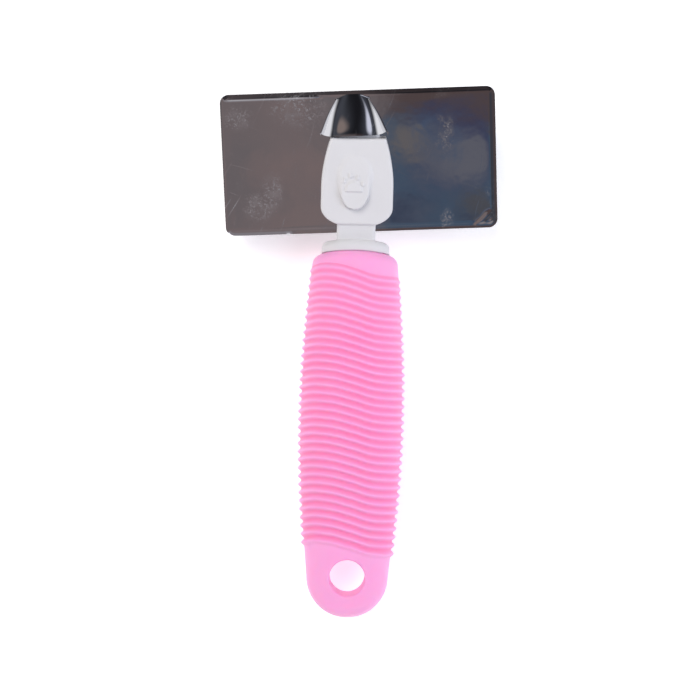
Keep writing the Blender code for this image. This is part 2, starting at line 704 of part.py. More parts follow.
def build():
    clear_scene()
    chrome = material("chromed_steel", (0.62, 0.62, 0.64), 0.08, 1.0)
    white = material("white_polypropylene", (0.80, 0.80, 0.82), 0.42)
    pink = material("pink_rubber", (0.90, 0.20, 0.50), 0.55)
    foam = material("grey_foam", (0.32, 0.32, 0.34), 0.95)
    cloth = material("fillet_rubber_cloth", (0.10, 0.10, 0.11), 0.80)
    steel = material("pin_steel", (0.55, 0.56, 0.58), 0.25, 1.0)
    zinc = material("screw_zinc", (0.60, 0.60, 0.58), 0.35, 1.0)

    rear_z = -lowest_tip()
    middle_x, middle_y = brush_middle(rear_z)
    brush_frame = empty("brush_frame", (-middle_x, -middle_y, 0.0), (0.0, 0.0, 0.0))
    neck_frame = empty("neck_frame", (0.0, REAR_EDGE_Y, rear_z), (HEAD_TILT, 0.0, 0.0), brush_frame)
    head_frame = empty("head_frame", (HEAD_SHIFT, HEAD_LENGTH / 2, 0.0), (0.0, 0.0, HEAD_YAW), neck_frame)
    slide_frame = empty("pin_pad_slide", (0.0, 0.0, 0.0), (0.0, 0.0, 0.0), head_frame)

    head_shell(head_frame, neck_frame, chrome)
    foam_cushion(head_frame, neck_frame, foam)
    pin_fillet(slide_frame, cloth)
    for row in range(ROWS):
        pin_row(row, slide_frame, steel)
    for number, station in enumerate(SCREW_STATIONS, 1):
        neck_screw(number, station, neck_frame, zinc)
    handle_core(brush_frame, neck_frame, rear_z, white)
    grip_sleeve(brush_frame, pink)


build()
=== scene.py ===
"""Slicker brush lying on a studio floor, back up.

Each piece of the brush is made by its own operator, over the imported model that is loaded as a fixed
frame. All lengths are in metres. +Y runs along the handle from the hanging hole to the head, +X runs
across, +Z points up out of the back of the head, and z = 0 is the surface that the brush lies on.
"""

import json
import math

import bmesh
import bpy
from bpy.props import FloatProperty, FloatVectorProperty, IntProperty, PointerProperty
from bpy.types import Operator, Panel, PropertyGroup
from mathutils import Matrix, Vector, noise


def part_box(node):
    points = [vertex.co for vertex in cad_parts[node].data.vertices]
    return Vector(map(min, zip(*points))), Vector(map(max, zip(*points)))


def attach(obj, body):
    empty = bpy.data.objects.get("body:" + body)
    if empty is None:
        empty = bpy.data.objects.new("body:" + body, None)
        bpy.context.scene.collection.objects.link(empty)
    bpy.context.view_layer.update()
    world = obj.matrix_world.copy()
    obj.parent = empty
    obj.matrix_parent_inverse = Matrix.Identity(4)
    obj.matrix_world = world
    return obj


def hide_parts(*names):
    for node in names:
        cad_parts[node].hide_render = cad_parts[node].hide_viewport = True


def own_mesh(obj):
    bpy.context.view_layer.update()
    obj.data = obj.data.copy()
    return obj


bl_info = {
    "name": "Slicker Brush Builder",
    "version": (1, 0, 0),
    "blender": (4, 5, 0),
    "location": "3D View > Sidebar > Brush",
    "description": "Builds the tray, pins, moulding and grip of a slicker brush over its packed frame",
    "category": "Add Mesh",
}

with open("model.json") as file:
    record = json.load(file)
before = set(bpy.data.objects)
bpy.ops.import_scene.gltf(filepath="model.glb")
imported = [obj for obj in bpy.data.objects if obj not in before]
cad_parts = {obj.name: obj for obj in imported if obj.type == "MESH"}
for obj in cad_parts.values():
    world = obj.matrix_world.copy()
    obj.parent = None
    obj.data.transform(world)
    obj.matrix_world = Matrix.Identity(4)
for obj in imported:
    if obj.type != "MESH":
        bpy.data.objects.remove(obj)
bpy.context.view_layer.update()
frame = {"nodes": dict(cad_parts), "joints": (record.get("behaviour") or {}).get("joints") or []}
PIN_PAD_JOINT = frame["joints"][0]
PLATE_NORMAL = Vector(PIN_PAD_JOINT["axis"]).normalized()
TAIL_TIP_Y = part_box("grip_sleeve")[0].y
GRIP_MIDDLE_X = (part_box("grip_sleeve")[0].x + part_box("grip_sleeve")[1].x) / 2

CLEARANCE = 0.0003  # room between two pieces that lie against each other
SAME_PLACE = 1e-6  # two lengths closer than this are one

# Clusters of scuffs on the tray as (middle across and along, reach across and along).
SCUFF_CLUSTERS = (
    ((-0.0205, 0.0800), (0.0075, 0.0050)),
    ((-0.0335, 0.0470), (0.0042, 0.0036)),
    ((-0.0290, 0.0520), (0.0030, 0.0050)),
    ((-0.0410, 0.0760), (0.0040, 0.0030)),
    ((0.0292, 0.0725), (0.0016, 0.0045)),
    ((0.0300, 0.0450), (0.0018, 0.0030)),
)
# Creases at the buckled rear corner as (from the side, from the rear edge, height, half width, length).
CREASES = (
    (0.0078, 0.0010, 0.00011, 0.0008, 0.0085),
    (0.0045, 0.0012, 0.00009, 0.0006, 0.0045),
)
# Toes of the paw on the thumb pad as (across, along, half width, half length).
PAW_TOES = (
    (-0.0037, 0.0003, 0.00072, 0.00090),
    (-0.0015, 0.0020, 0.00078, 0.00100),
    (0.0009, 0.0014, 0.00078, 0.00100),
    (0.0027, -0.0007, 0.00072, 0.00090),
)
PALE_WALL = (0.92, 0.92, 0.95)
# What the right half of the tray mirrors, as (middle and reach in directions of the sky, colour).
CEILING_PATCHES = (
    ((0.0500, -0.3150), (0.0250, 0.0185), (0.040, 0.048, 0.108)),
    ((0.0520, -0.3190), (0.0190, 0.0120), (0.128, 0.130, 0.158)),
    ((0.0370, -0.3100), (0.0080, 0.0070), (0.070, 0.100, 0.165)),
    ((0.0260, -0.3140), (0.0090, 0.0080), (0.142, 0.130, 0.132)),
    ((0.0275, -0.3445), (0.0090, 0.0065), (0.038, 0.044, 0.080)),
    ((0.0600, -0.3400), (0.0100, 0.0045), (0.086, 0.084, 0.092)),
    ((0.0600, -0.3480), (0.0140, 0.0030), (0.054, 0.060, 0.090)),
)
# What the hood mirrors, in the same form.
HOOD_PATCHES = (
    ((-0.34, 0.32), (0.24, 0.70), (0.060, 0.064, 0.078)),
    ((-0.22, 0.24), (0.11, 0.24), (0.240, 0.190, 0.175)),
    ((0.34, 0.30), (0.24, 0.70), (0.060, 0.064, 0.080)),
    ((0.27, 0.34), (0.10, 0.40), (0.700, 0.720, 0.840)),
)
NO_RIB = -9.0  # rib count of a ring that carries no rib


# ---------------------------------------------------------------------------------------- sizes


def length(name, description, default, **more):
    """A length in metres for a panel of sizes."""
    more.setdefault("precision", 5)
    return FloatProperty(name=name, description=description, default=default, unit="LENGTH", **more)


def angle(name, description, degrees):
    """An angle for a panel of sizes, with its default in degrees."""
    return FloatProperty(
        name=name, description=description, default=math.radians(degrees), unit="ROTATION", subtype="ANGLE"
    )


def colour(name, description, default):
    """A colour for a panel of finishes."""
    return FloatVectorProperty(
        name=name, description=description, default=default, size=3, min=0.0, max=1.0, subtype="COLOR"
    )


class TrayHeadSizes(PropertyGroup):
    """Sizes of the chromed tray, its hood, and the pin pad inside it"""

    width: length("Width", "Tray across, over its walls", 0.0918)
    length: length("Length", "Tray from its rear edge to its far edge", 0.0476)
    depth: length("Depth", "Tray from its back face to its lip", 0.0080)
    sheet: length("Sheet", "Thickness of the steel", 0.0006)
    fold: length("Fold", "Outside radius of the fold round the back face", 0.0012)
    corner: length("Corner", "Corner radius of the tray's outline", 0.0030)
    lip: length("Lip", "How far the lip is turned in over the fillet", 0.0016)
    nub: length("Corner nub", "How far the gathered corners stand out", 0.0011)
    rear_y: length("Rear edge", "Where the rear edge lies along the brush", 0.039711)
    rear_z: length("Rear height", "How high the back face is at its rear edge", 0.017544)
    yaw: angle("Yaw", "How far the tray sits turned on its handle", 3.5)
    shift: length("Shift", "How far the tray sits to the side of the handle", 0.0005)
    hood_shift: length("Hood shift", "How far the hood sits to the side of the tray's middle", -0.0016)
    hood_length: length("Hood length", "From the hood's mouth to its closed end", 0.0134)
    hood_margin: length("Hood margin", "From the hood's closed end to the far edge", 0.0012)
    hood_half_width: length("Hood half width", "Half the hood's width at its mouth", 0.0112)
    hood_corner: length("Hood corner", "Rounding of the mouth's two corners", 0.0010)
    hood_height: length("Hood height", "How high the hood's mouth stands over the back face", 0.0060)
    wire: length("Wire", "Diameter of the pin wire", 0.0005)
    rows: IntProperty(name="Rows", description="Rows of pins", default=10, min=1)
    pins: IntProperty(
        name="Pins", description="Pins in the rearmost row; every second row has one less", default=18, min=2
    )
    side_margin: length("Side margin", "From the tray's side to the first pin", 0.0063)
    rear_margin: length("Rear margin", "From the rear edge to the first row", 0.0068)
    far_margin: length("Far margin", "From the far edge to the last row", 0.0048)
    fillet: length("Fillet", "Thickness of the rubber cloth", 0.0013)
    pin_straight: length("Straight", "Straight part of a pin below the fillet", 0.0056)
    pin_hooked: length("Hooked", "Bent part of a pin", 0.0062)
    pin_hook: angle("Hook", "How far a pin is bent back", 27.0)


class MouldingSizes(PropertyGroup):
    """Sizes of the white moulding: tongue, paddle, thumb pad, shank and collar"""

    paddle_start: length("Paddle start", "From the tray's rear edge to the paddle", 0.0030)
    shoulder: length("Shoulder", "Where the paddle reaches its full width", 0.0088)
    shoulder_cut: angle("Shoulder cut", "Where the paddle's round shoulder starts from the shank", 25.0)
    waist: length("Waist", "Where the paddle starts to taper", 0.0160)
    paddle_half_width: length("Paddle half width", "Half the paddle's full width", 0.0121)
    paddle_top_half_width: length("Paddle top", "Half the paddle's width at the hood", 0.0092)
    paddle_thickness: length("Paddle thickness", "Thickness of the paddle", 0.0044)
    edge: length("Edge", "Rounding of the paddle's upper edge", 0.0008)
    tongue_thickness: length("Tongue", "Thickness of the tongue under the hood", 0.0030)
    tongue_half_width: length("Tongue half width", "Half the tongue's width at its root", 0.0080)
    tongue_length: length("Tongue length", "How far the tongue reaches under the hood", 0.0074)
    pad_length: length("Thumb pad length", "Length of the thumb pad", 0.0188)
    pad_half_width: length("Thumb pad", "Half the thumb pad's width at its wide end", 0.0065)
    pad_height: length("Thumb pad height", "How proud the thumb pad's lower end is", 0.0019)
    pad_middle: length("Thumb pad middle", "From the rear edge to the pad's middle", 0.0177)
    shank_half_width: length("Shank half width", "Half the width of the shank", 0.0065)
    shank_depth: length("Shank depth", "Thickness of the shank", 0.0058)
    shank_slope: angle("Shank slope", "Slope of the shank toward the collar", 20.0)
    collar_half_width: length("Collar half width", "Half the collar's width", 0.0116)
    collar_half_depth: length("Collar half depth", "Half the collar's depth", 0.0094)
    collar_length: length("Collar length", "Length of the collar", 0.0036)
    grain: length("Grain", "Cell of the remesh that melts the moulding together", 0.00028)


class GripSizes(PropertyGroup):
    """Sizes of the pink rubber grip, counted from the tip of its tail"""

    front: length("Front", "From the tail's tip to the collar", 0.1242)
    neck_half_width: length("Neck half width", "Half width at the collar", 0.0142)
    neck_half_depth: length("Neck half depth", "Half depth at the collar", 0.0112)
    belly: length("Belly", "Where the grip is thickest", 0.0670)
    belly_half_width: length("Belly half width", "Half width at the belly", 0.0171)
    belly_half_depth: length("Belly half depth", "Half depth at the belly", 0.0126)
    tail_radius: length("Tail radius", "Radius of the round tail", 0.01385)
    tail_half_depth: length("Tail half depth", "Half depth of the tail", 0.0080)
    axis_z: length("Axis height", "Height of the grip's middle over the floor", 0.0136)
    hole: length("Hole", "Radius of the hanging hole", 0.0060)
    rim: length("Rim", "Rounding of the hole's rim", 0.0009)
    ribs: IntProperty(name="Ribs", description="Ribs along the grip", default=35, min=2)
    shoulder: length("Shoulder", "Rounding of the grip's front edge", 0.0036)
    bow: length("Bow", "How far the front edge bows toward the tail at its sides", 0.0012)
    rib_first: length("First rib", "From the tail's tip to the first rib", 0.0263)
    rib_last: length("Last rib", "From the tail's tip to the last rib", 0.1185)
    rib_stretch: FloatProperty(
        name="Rib stretch", description="How much further apart the ribs are toward the tail", default=0.05
    )
    rib_height: length("Rib height", "Height of the ribs", 0.00108)
    rib_height_neck: length("Rib height at the neck", "Height of the last rib", 0.0005)
    rib_fade: length("Rib fade", "Length over which the ribs grow from the neck", 0.0300)
    rib_swing: length("Rib swing", "How far a rib falls toward the tail from left to right", 0.0045)
    rib_middle: FloatProperty(
        name="Rib middle",
        description="Where the fall is steepest, as a share of the half width",
        default=0.05,
    )
    rib_edge_drop: length("Rib edge drop", "How far a rib falls back at the grip's left edge", 0.0014)
    core_half_width: length("Core half width", "Half width of the core inside", 0.0070)
    core_half_depth: length("Core half depth", "Half depth of the core inside", 0.0052)
    core_end: length("Core end", "From the tail's tip to the core", 0.0300)


class BrushFinishes(PropertyGroup):
    """Colours of the brush and its stage"""

    chrome: colour("Chrome", "Chromed steel", (0.78, 0.78, 0.80))
    white: colour("White plastic", "Satin white moulding", (0.69, 0.685, 0.70))
    pink: colour("Pink rubber", "Crests and smooth parts of the grip", (1.0, 0.41, 0.71))
    # Painted shade: the deeper pink that the grooves between the ribs are coloured with.
    pink_groove_shade: colour("Pink grooves", "Grooves between the ribs", (1.0, 0.27, 0.53))
    foam: colour("Foam", "Cushion foam", (0.16, 0.16, 0.17))
    cloth: colour("Cloth", "Rubber cloth of the fillet", (0.060, 0.062, 0.068))
    steel: colour("Pin steel", "Drawn wire", (0.56, 0.57, 0.59))
    zinc: colour("Zinc", "Plated screws", (0.62, 0.62, 0.58))
    floor: colour("Floor", "Studio floor", (0.93, 0.93, 0.93))


class StageSizes(PropertyGroup):
    """Camera and light of the studio"""

    camera_x: length("Camera across", "Where the camera stands across the brush", -0.0015)
    camera_y: length("Camera along", "Where the camera stands along the brush", -0.0003)
    camera_height: length("Camera height", "Height of the camera over the floor", 0.714)
    camera_roll: angle("Camera roll", "How far the camera is turned about its own axis", 1.5)
    lens: FloatProperty(
        name="Lens", description="Focal length on a 36 mm sensor", default=106.0, unit="CAMERA", min=1.0
    )
    key: FloatProperty(
        name="Key light", description="Power of the key light", default=9.7, min=0.0, unit="POWER"
    )
    fill: FloatProperty(
        name="Fill light", description="Power of the fill light", default=5.3, min=0.0, unit="POWER"
    )


# ---------------------------------------------------------------------------------------- frames


def tail_place():
    """The frame whose origin is under the tail's tip, at floor level."""
    return Matrix.Translation((GRIP_MIDDLE_X, TAIL_TIP_Y, 0.0))


def neck_place(head):
    """The frame on the middle of the tray's rear edge, +Z out of the back face."""
    tilt = math.atan2(-PLATE_NORMAL.y, PLATE_NORMAL.z)
    origin = Matrix.Translation((GRIP_MIDDLE_X, head.rear_y, head.rear_z))
    return origin @ Matrix.Rotation(tilt, 4, "X")


def head_place(head):
    """The frame on the middle of the back face, turned with the tray."""
    step = Matrix.Translation((head.shift, head.length / 2, 0.0))
    return neck_place(head) @ step @ Matrix.Rotation(head.yaw, 4, "Z")


# ---------------------------------------------------------------------------------------- meshes


def smoothstep(low, high, value):
    """A soft rise from 0 at low to 1 at high."""
    share = min(max((value - low) / (high - low), 0.0), 1.0)
    return share * share * (3.0 - 2.0 * share)


def new_piece(name, shape, place=None, surface=None, sharp=None):
    """Makes a piece at the origin from a bmesh, with its place in its mesh and its faces outward."""
    if place is not None:
        shape.transform(place)
    bmesh.ops.recalc_face_normals(shape, faces=shape.faces)
    mesh = bpy.data.meshes.new(name)
    shape.to_mesh(mesh)
    shape.free()
    mesh.shade_smooth()
    if sharp is not None:
        mesh.set_sharp_from_angle(angle=math.radians(sharp))
    piece = bpy.data.objects.new(name, mesh)
    bpy.context.scene.collection.objects.link(piece)
    if surface:
        mesh.materials.append(surface)
    return piece


def settle(piece):
    """Turns a piece's modifiers into plain mesh and removes them."""
    bpy.context.view_layer.update()
    graph = bpy.context.evaluated_depsgraph_get()
    plain = bpy.data.meshes.new_from_object(piece.evaluated_get(graph), depsgraph=graph)
    used = piece.data
    piece.modifiers.clear()
    piece.data = plain
    plain.name = piece.name
    bpy.data.meshes.remove(used)
    return piece


def drop(piece):
    """Removes a helper piece and its mesh."""
    mesh = piece.data
    bpy.data.objects.remove(piece)
    bpy.data.meshes.remove(mesh)


def skin(shape, rings, cap_first=True, cap_last=True):
    """Skins closed rings that all have the same number of points."""
    loops = [[shape.verts.new(point) for point in ring] for ring in rings]
    count = len(loops[0])
    for low, high in zip(loops, loops[1:]):
        for i in range(count):
            j = (i + 1) % count
            shape.faces.new((low[i], low[j], high[j], high[i]))
    if cap_first:
        shape.faces.new(loops[0])
    if cap_last:
        shape.faces.new(loops[-1])
    return loops


def spaced(breaks, step):
    """Grid lines from the first break to the last, with a line on each break."""
    lines = [breaks[0]]
    for low, high in zip(breaks, breaks[1:]):
        count = max(1, math.ceil((high - low) / step - 1e-6))
        lines += [low + (high - low) * (i + 1) / count for i in range(count)]
    return lines


def round_corner(x, y, half_x, half_y, radius):
    """Moves a point of a rectangle's corner block so that the block becomes a quarter disc."""
    a = (abs(x) - (half_x - radius)) / radius
    b = (abs(y) - (half_y - radius)) / radius
    if a <= 0.0 or b <= 0.0:
        return x, y
    reach = max(a, b)
    turn = math.pi / 4 * (b / a) if a >= b else math.pi / 2 - math.pi / 4 * (a / b)
    px = half_x - radius + radius * reach * math.cos(turn)
    py = half_y - radius + radius * reach * math.sin(turn)
    return math.copysign(px, x), math.copysign(py, y)


def outward_of(x, y, half_x, half_y, radius):
    """The outward direction at a point on a rounded rectangle's outline."""
    over_x = abs(x) - (half_x - radius)
    over_y = abs(y) - (half_y - radius)
    if over_x > 1e-7 and over_y > 1e-7:
        way = Vector((math.copysign(over_x, x), math.copysign(over_y, y), 0.0))
        return way.normalized()
    if over_x > over_y:
        return Vector((math.copysign(1.0, x), 0.0, 0.0))
    return Vector((0.0, math.copysign(1.0, y), 0.0))


def tree_with(name, sockets):
    """A Geometry Nodes tree with named inputs. Each socket is (name, type, default)."""
    tree = bpy.data.node_groups.new(name, "GeometryNodeTree")
    tree.interface.new_socket("Geometry", in_out="INPUT", socket_type="NodeSocketGeometry")
    for label, kind, default in sockets:
        made = tree.interface.new_socket(label, in_out="INPUT", socket_type="NodeSocket" + kind)
        if default is not None:
            made.default_value = default
    tree.interface.new_socket("Geometry", in_out="OUTPUT", socket_type="NodeSocketGeometry")
    return tree


class NodeDesk:
    """Lays nodes in a tree and joins their sockets."""

    def __init__(self, tree):
        self.tree = tree
        self.at = 0

    def add(self, kind, inputs=None, **settings):
        """Lays a node to the right of the last one, and feeds the inputs that are named."""
        node = self.tree.nodes.new(kind)
        node.location = (self.at * 180, 0)
        self.at += 1
        for key, value in settings.items():
            setattr(node, key, value)
        for key, value in (inputs or {}).items():
            self.feed(node.inputs[key], value)
        return node

    def feed(self, socket, value):
        """Joins a socket to the output of a node, or sets it to a plain value."""
        if isinstance(value, bpy.types.NodeSocket):
            self.tree.links.new(value, socket)
        else:
            socket.default_value = value

    def math(self, operation, *values, clamp=False):
        node = self.add("ShaderNodeMath", operation=operation, use_clamp=clamp)
        for socket, value in zip(node.inputs, values):
            self.feed(socket, value)
        return node.outputs[0]

    def vector_math(self, operation, *values, scale=None):
        node = self.add("ShaderNodeVectorMath", operation=operation)
        for socket, value in zip(node.inputs, values):
            self.feed(socket, value)
        if scale is not None:
            self.feed(node.inputs["Scale"], scale)
        return node.outputs[0]

    def range(self, value, low, high, to_low=0.0, to_high=1.0, smooth=True):
        node = self.add(
            "ShaderNodeMapRange",
            {"Value": value, "From Min": low, "From Max": high, "To Min": to_low, "To Max": to_high},
            interpolation_type="SMOOTHSTEP" if smooth else "LINEAR",
        )
        return node.outputs["Result"]

    def mix(self, share, first, second):
        """Mixes two colours, each of them a socket or three numbers."""
        node = self.add("ShaderNodeMix", data_type="RGBA", blend_type="MIX")
        self.feed(node.inputs[0], share)
        for socket, value in zip(node.inputs[6:8], (first, second)):
            self.feed(socket, value if isinstance(value, bpy.types.NodeSocket) else (*value, 1.0))
        return node.outputs[2]


def add_nodes(piece, tree, values):
    """Puts a Geometry Nodes tree on a piece and sets its inputs by their identifiers."""
    change = piece.modifiers.new(tree.name, "NODES")
    change.node_group = tree
    found = {item.name: item.identifier for item in tree.interface.items_tree if item.in_out == "INPUT"}
    for name, value in values.items():
        change[found[name]] = value
    return change


# ---------------------------------------------------------------------------------------- finishes


def blank_finish(name, base, roughness, metallic=0.0):
    """A Principled material and a desk to lay its nodes on."""
    surface = bpy.data.materials.new(name)
    surface.use_nodes = True
    shader = surface.node_tree.nodes["Principled BSDF"]
    shader.inputs["Base Color"].default_value = (*base, 1.0)
    shader.inputs["Roughness"].default_value = roughness
    shader.inputs["Metallic"].default_value = metallic
    return surface, NodeDesk(surface.node_tree), shader


def object_place(desk):
    """Object coordinates, in metres of the brush's own frame."""
    return desk.add("ShaderNodeTexCoord").outputs["Object"]


def cloud(desk, place, scale, detail=2.0, distortion=0.0):
    """Soft noise from 0 to 1."""
    node = desk.add(
        "ShaderNodeTexNoise", {"Vector": place, "Scale": scale, "Detail": detail, "Distortion": distortion}
    )
    return node.outputs["Fac"]


def streaks(desk, place, turn, along, across, least, offset):
    """Thin bent scratches that run at an angle across the plate."""
    turned = desk.add("ShaderNodeVectorRotate", {"Vector": place, "Angle": turn}, rotation_type="Z_AXIS")
    bend = desk.add("ShaderNodeCombineXYZ", {"Y": cloud(desk, place, 38.0, 1.0)})
    bent = desk.vector_math("ADD", turned.outputs[0], desk.vector_math("SCALE", bend.outputs[0], scale=0.011))
    stretched = desk.vector_math("MULTIPLY", bent, (along, across, 1.0))
    moved = desk.vector_math("ADD", stretched, (offset, offset * 1.7, offset * 0.3))
    return desk.range(cloud(desk, moved, 1.0, 0.0), least, least + 0.06)


def oval_patch(desk, across, up, middle, reach, soft=0.6):
    """1 in the middle of an oval and 0 outside it."""
    x = desk.math("DIVIDE", desk.math("SUBTRACT", across, middle[0]), reach[0])
    y = desk.math("DIVIDE", desk.math("SUBTRACT", up, middle[1]), reach[1])
    away = desk.math("SQRT", desk.math("ADD", desk.math("MULTIPLY", x, x), desk.math("MULTIPLY", y, y)))
    return desk.range(away, 1.0 + soft / 2, 1.0 - soft / 2)


def bump(desk, shader, height, distance, strength):
    """Roughens a surface with a fine grain, too small to model."""
    node = desk.add("ShaderNodeBump", {"Height": height, "Distance": distance, "Strength": strength})
    desk.feed(shader.inputs["Normal"], node.outputs["Normal"])


def chrome_finish(colours):
    """Bright chrome plate with bent hairlines, a few clusters of scuffs and a thin haze."""
    surface, desk, shader = blank_finish("worn_chrome", colours.chrome, 0.05, 1.0)
    place = object_place(desk)
    parts = desk.add("ShaderNodeSeparateXYZ", {"Vector": place}).outputs
    across, up = parts["X"], parts["Y"]

    # Hairlines in three directions, more of them on the left half.
    left = desk.range(across, 0.030, -0.030, 0.30, 1.0)
    lines = desk.math("MAXIMUM", streaks(desk, place, 0.35, 80.0, 3200.0, 0.80, 3.1),
                      streaks(desk, place, -1.15, 75.0, 2900.0, 0.80, 8.4))
    lines = desk.math("MAXIMUM", lines, streaks(desk, place, 1.75, 110.0, 3100.0, 0.79, 14.2))
    patches = desk.range(cloud(desk, place, 60.0, 3.0), 0.50, 0.66)
    lines = desk.math("MULTIPLY", lines, desk.math("MULTIPLY_ADD", patches, 0.5, 0.12))

    # Rubbed places, with threads and smears in them.
    rubbed = desk.math("MULTIPLY", desk.range(cloud(desk, place, 70.0, 2.0, 0.8), 0.60, 0.76), 0.45)
    for middle, reach in SCUFF_CLUSTERS:
        rubbed = desk.math("MAXIMUM", rubbed, oval_patch(desk, across, up, middle, reach, 1.4))
    threads = desk.range(cloud(desk, place, 560.0, 6.0, 2.2), 0.46, 0.80)
    smears = desk.range(cloud(desk, place, 240.0, 3.0), 0.40, 0.75, 0.0, 0.22)
    scuffs = desk.math("MULTIPLY", desk.math("MAXIMUM", threads, smears), desk.math("MULTIPLY", rubbed, 0.70))

    # Tiny pits, and a haze that dulls the plate in soft patches.
    sparks = desk.range(cloud(desk, place, 1900.0, 1.0), 0.80, 0.84, 0.0, 0.55)
    worn = desk.math("MAXIMUM", desk.math("MULTIPLY", lines, left), scuffs)
    worn = desk.math("MAXIMUM", worn, desk.math("MULTIPLY", sparks, patches), clamp=True)
    haze = desk.range(cloud(desk, place, 36.0, 4.0), 0.42, 0.78)
    dusty = desk.mix(desk.math("MULTIPLY", worn, 0.75), tuple(colours.chrome), (0.62, 0.62, 0.66))
    desk.feed(shader.inputs["Base Color"], dusty)
    gloss = desk.math("ADD", desk.math("MULTIPLY", haze, 0.07), desk.math("MULTIPLY", worn, 0.40))
    desk.feed(shader.inputs["Roughness"], desk.math("ADD", gloss, 0.035))
    bare = desk.math("SUBTRACT", 1.0, desk.math("MULTIPLY", worn, 0.40))
    desk.feed(shader.inputs["Metallic"], bare)
    ripple = desk.math("ADD", cloud(desk, place, 150.0, 2.0), desk.math("MULTIPLY", worn, -0.4))
    bump(desk, shader, ripple, 0.00003, 0.35)
    return surface


def white_finish(colours):
    """Satin white plastic with a fine moulded grain."""
    surface, desk, shader = blank_finish("satin_white_plastic", colours.white, 0.42)
    shader.inputs["Subsurface Weight"].default_value = 0.12
    shader.inputs["Subsurface Radius"].default_value = (0.9, 0.9, 1.0)
    shader.inputs["Subsurface Scale"].default_value = 0.0012
    place = object_place(desk)
    mottle = desk.range(cloud(desk, place, 90.0, 3.0), 0.35, 0.70)
    duller = tuple(c * 0.965 for c in colours.white)
    tint = desk.mix(desk.math("MULTIPLY", mottle, 0.5), tuple(colours.white), duller)
    desk.feed(shader.inputs["Base Color"], tint)
    rough = desk.range(cloud(desk, place, 260.0, 3.0), 0.3, 0.7, 0.36, 0.48)
    desk.feed(shader.inputs["Roughness"], rough)
    bump(desk, shader, cloud(desk, place, 5200.0, 2.0), 0.00002, 0.5)
    return surface


def pink_finish(colours):
    """Soft pink rubber, with painted shade: a deeper pink laid into the grooves between the ribs."""
    surface, desk, shader = blank_finish("pink_grip_rubber", colours.pink, 0.50)
    shader.inputs["Subsurface Weight"].default_value = 0.55
    shader.inputs["Subsurface Radius"].default_value = (1.0, 0.30, 0.5)
    shader.inputs["Subsurface Scale"].default_value = 0.0022
    shader.inputs["Sheen Weight"].default_value = 0.08
    shader.inputs["Sheen Roughness"].default_value = 0.5
    place = object_place(desk)
    # Painted shade in the grooves: the groove_shade attribute mixes in the deeper pink, and noise varies it a
    # little.
    groove_shade = desk.add("ShaderNodeAttribute", attribute_name="groove_shade").outputs["Fac"]
    groove_shade_noise = desk.range(cloud(desk, place, 130.0, 4.0), 0.35, 0.75)
    depth = desk.math("MULTIPLY", groove_shade, desk.range(groove_shade_noise, 0.0, 1.0, 0.92, 1.0))
    base = desk.mix(depth, tuple(colours.pink), tuple(colours.pink_groove_shade))
    specks = desk.range(cloud(desk, place, 900.0, 3.0), 0.74, 0.80, 0.0, 0.25)
    base = desk.mix(specks, base, (0.80, 0.38, 0.50))
    desk.feed(shader.inputs["Base Color"], base)
    rough = desk.range(cloud(desk, place, 210.0, 3.0), 0.3, 0.7, 0.44, 0.60)
    desk.feed(shader.inputs["Roughness"], rough)
    bump(desk, shader, cloud(desk, place, 3800.0, 3.0), 0.00002, 0.6)
    return surface


def foam_finish(colours):
    """Open-cell foam, with painted shade in its pores."""
    surface, desk, shader = blank_finish("grey_cushion_foam", colours.foam, 0.95)
    place = object_place(desk)
    bubbles = desk.add("ShaderNodeTexVoronoi", {"Vector": place, "Scale": 2200.0}, feature="F1")
    cells = bubbles.outputs["Distance"]
    # Painted shade: the pores, where the bump sinks, are coloured darker.
    pore_shade = tuple(c * 0.35 for c in colours.foam)
    base = desk.mix(desk.range(cells, 0.1, 0.55), pore_shade, tuple(colours.foam))
    desk.feed(shader.inputs["Base Color"], base)
    bump(desk, shader, cells, 0.0002, 0.8)
    return surface


def cloth_finish(colours):
    """Rubber-faced cloth with a plain weave, which follows the fillet's own map in metres."""
    surface, desk, shader = blank_finish("woven_rubber_cloth", colours.cloth, 0.70)
    shader.inputs["Sheen Weight"].default_value = 0.15
    flat = desk.add("ShaderNodeUVMap", uv_map="weave").outputs["UV"]
    parts = desk.add("ShaderNodeSeparateXYZ", {"Vector": flat})
    thread_pitch = 0.0009
    thread = 2 * math.pi / thread_pitch
    warp = desk.math("SINE", desk.math("MULTIPLY", parts.outputs["X"], thread))
    weft = desk.math("SINE", desk.math("MULTIPLY", parts.outputs["Y"], thread))
    weave = desk.math("ADD", desk.math("MULTIPLY", desk.math("MULTIPLY", warp, weft), 0.5), 0.5)
    fuzz = cloud(desk, object_place(desk), 1500.0, 3.0)
    base = desk.mix(desk.math("MULTIPLY", weave, fuzz), tuple(c * 0.5 for c in colours.cloth),
                    tuple(min(c * 1.9, 1.0) for c in colours.cloth))
    desk.feed(shader.inputs["Base Color"], base)
    bump(desk, shader, weave, 0.00012, 0.7)
    return surface


def wire_finish(name, tone, least, most, scale):
    """Bright drawn or plated metal with uneven gloss."""
    surface, desk, shader = blank_finish(name, tone, (least + most) / 2, 1.0)
    place = object_place(desk)
    uneven = cloud(desk, place, scale, 3.0)
    desk.feed(shader.inputs["Roughness"], desk.range(uneven, 0.3, 0.7, least, most))
    shade = desk.mix(desk.range(uneven, 0.35, 0.8), tuple(tone), tuple(c * 0.80 for c in tone))
    desk.feed(shader.inputs["Base Color"], shade)
    bump(desk, shader, cloud(desk, place, scale * 3, 2.0), 0.00001, 0.4)
    return surface


# ---------------------------------------------------------------------------------------- tray


def hood_half_width(head, along):
    """Half the hood's width, from its mouth at 0 to its closed end at 1."""
    share = min(max(along, 0.0), 1.0)
    return head.hood_half_width * (1.0 - 0.40 * share - 0.26 * share**3)


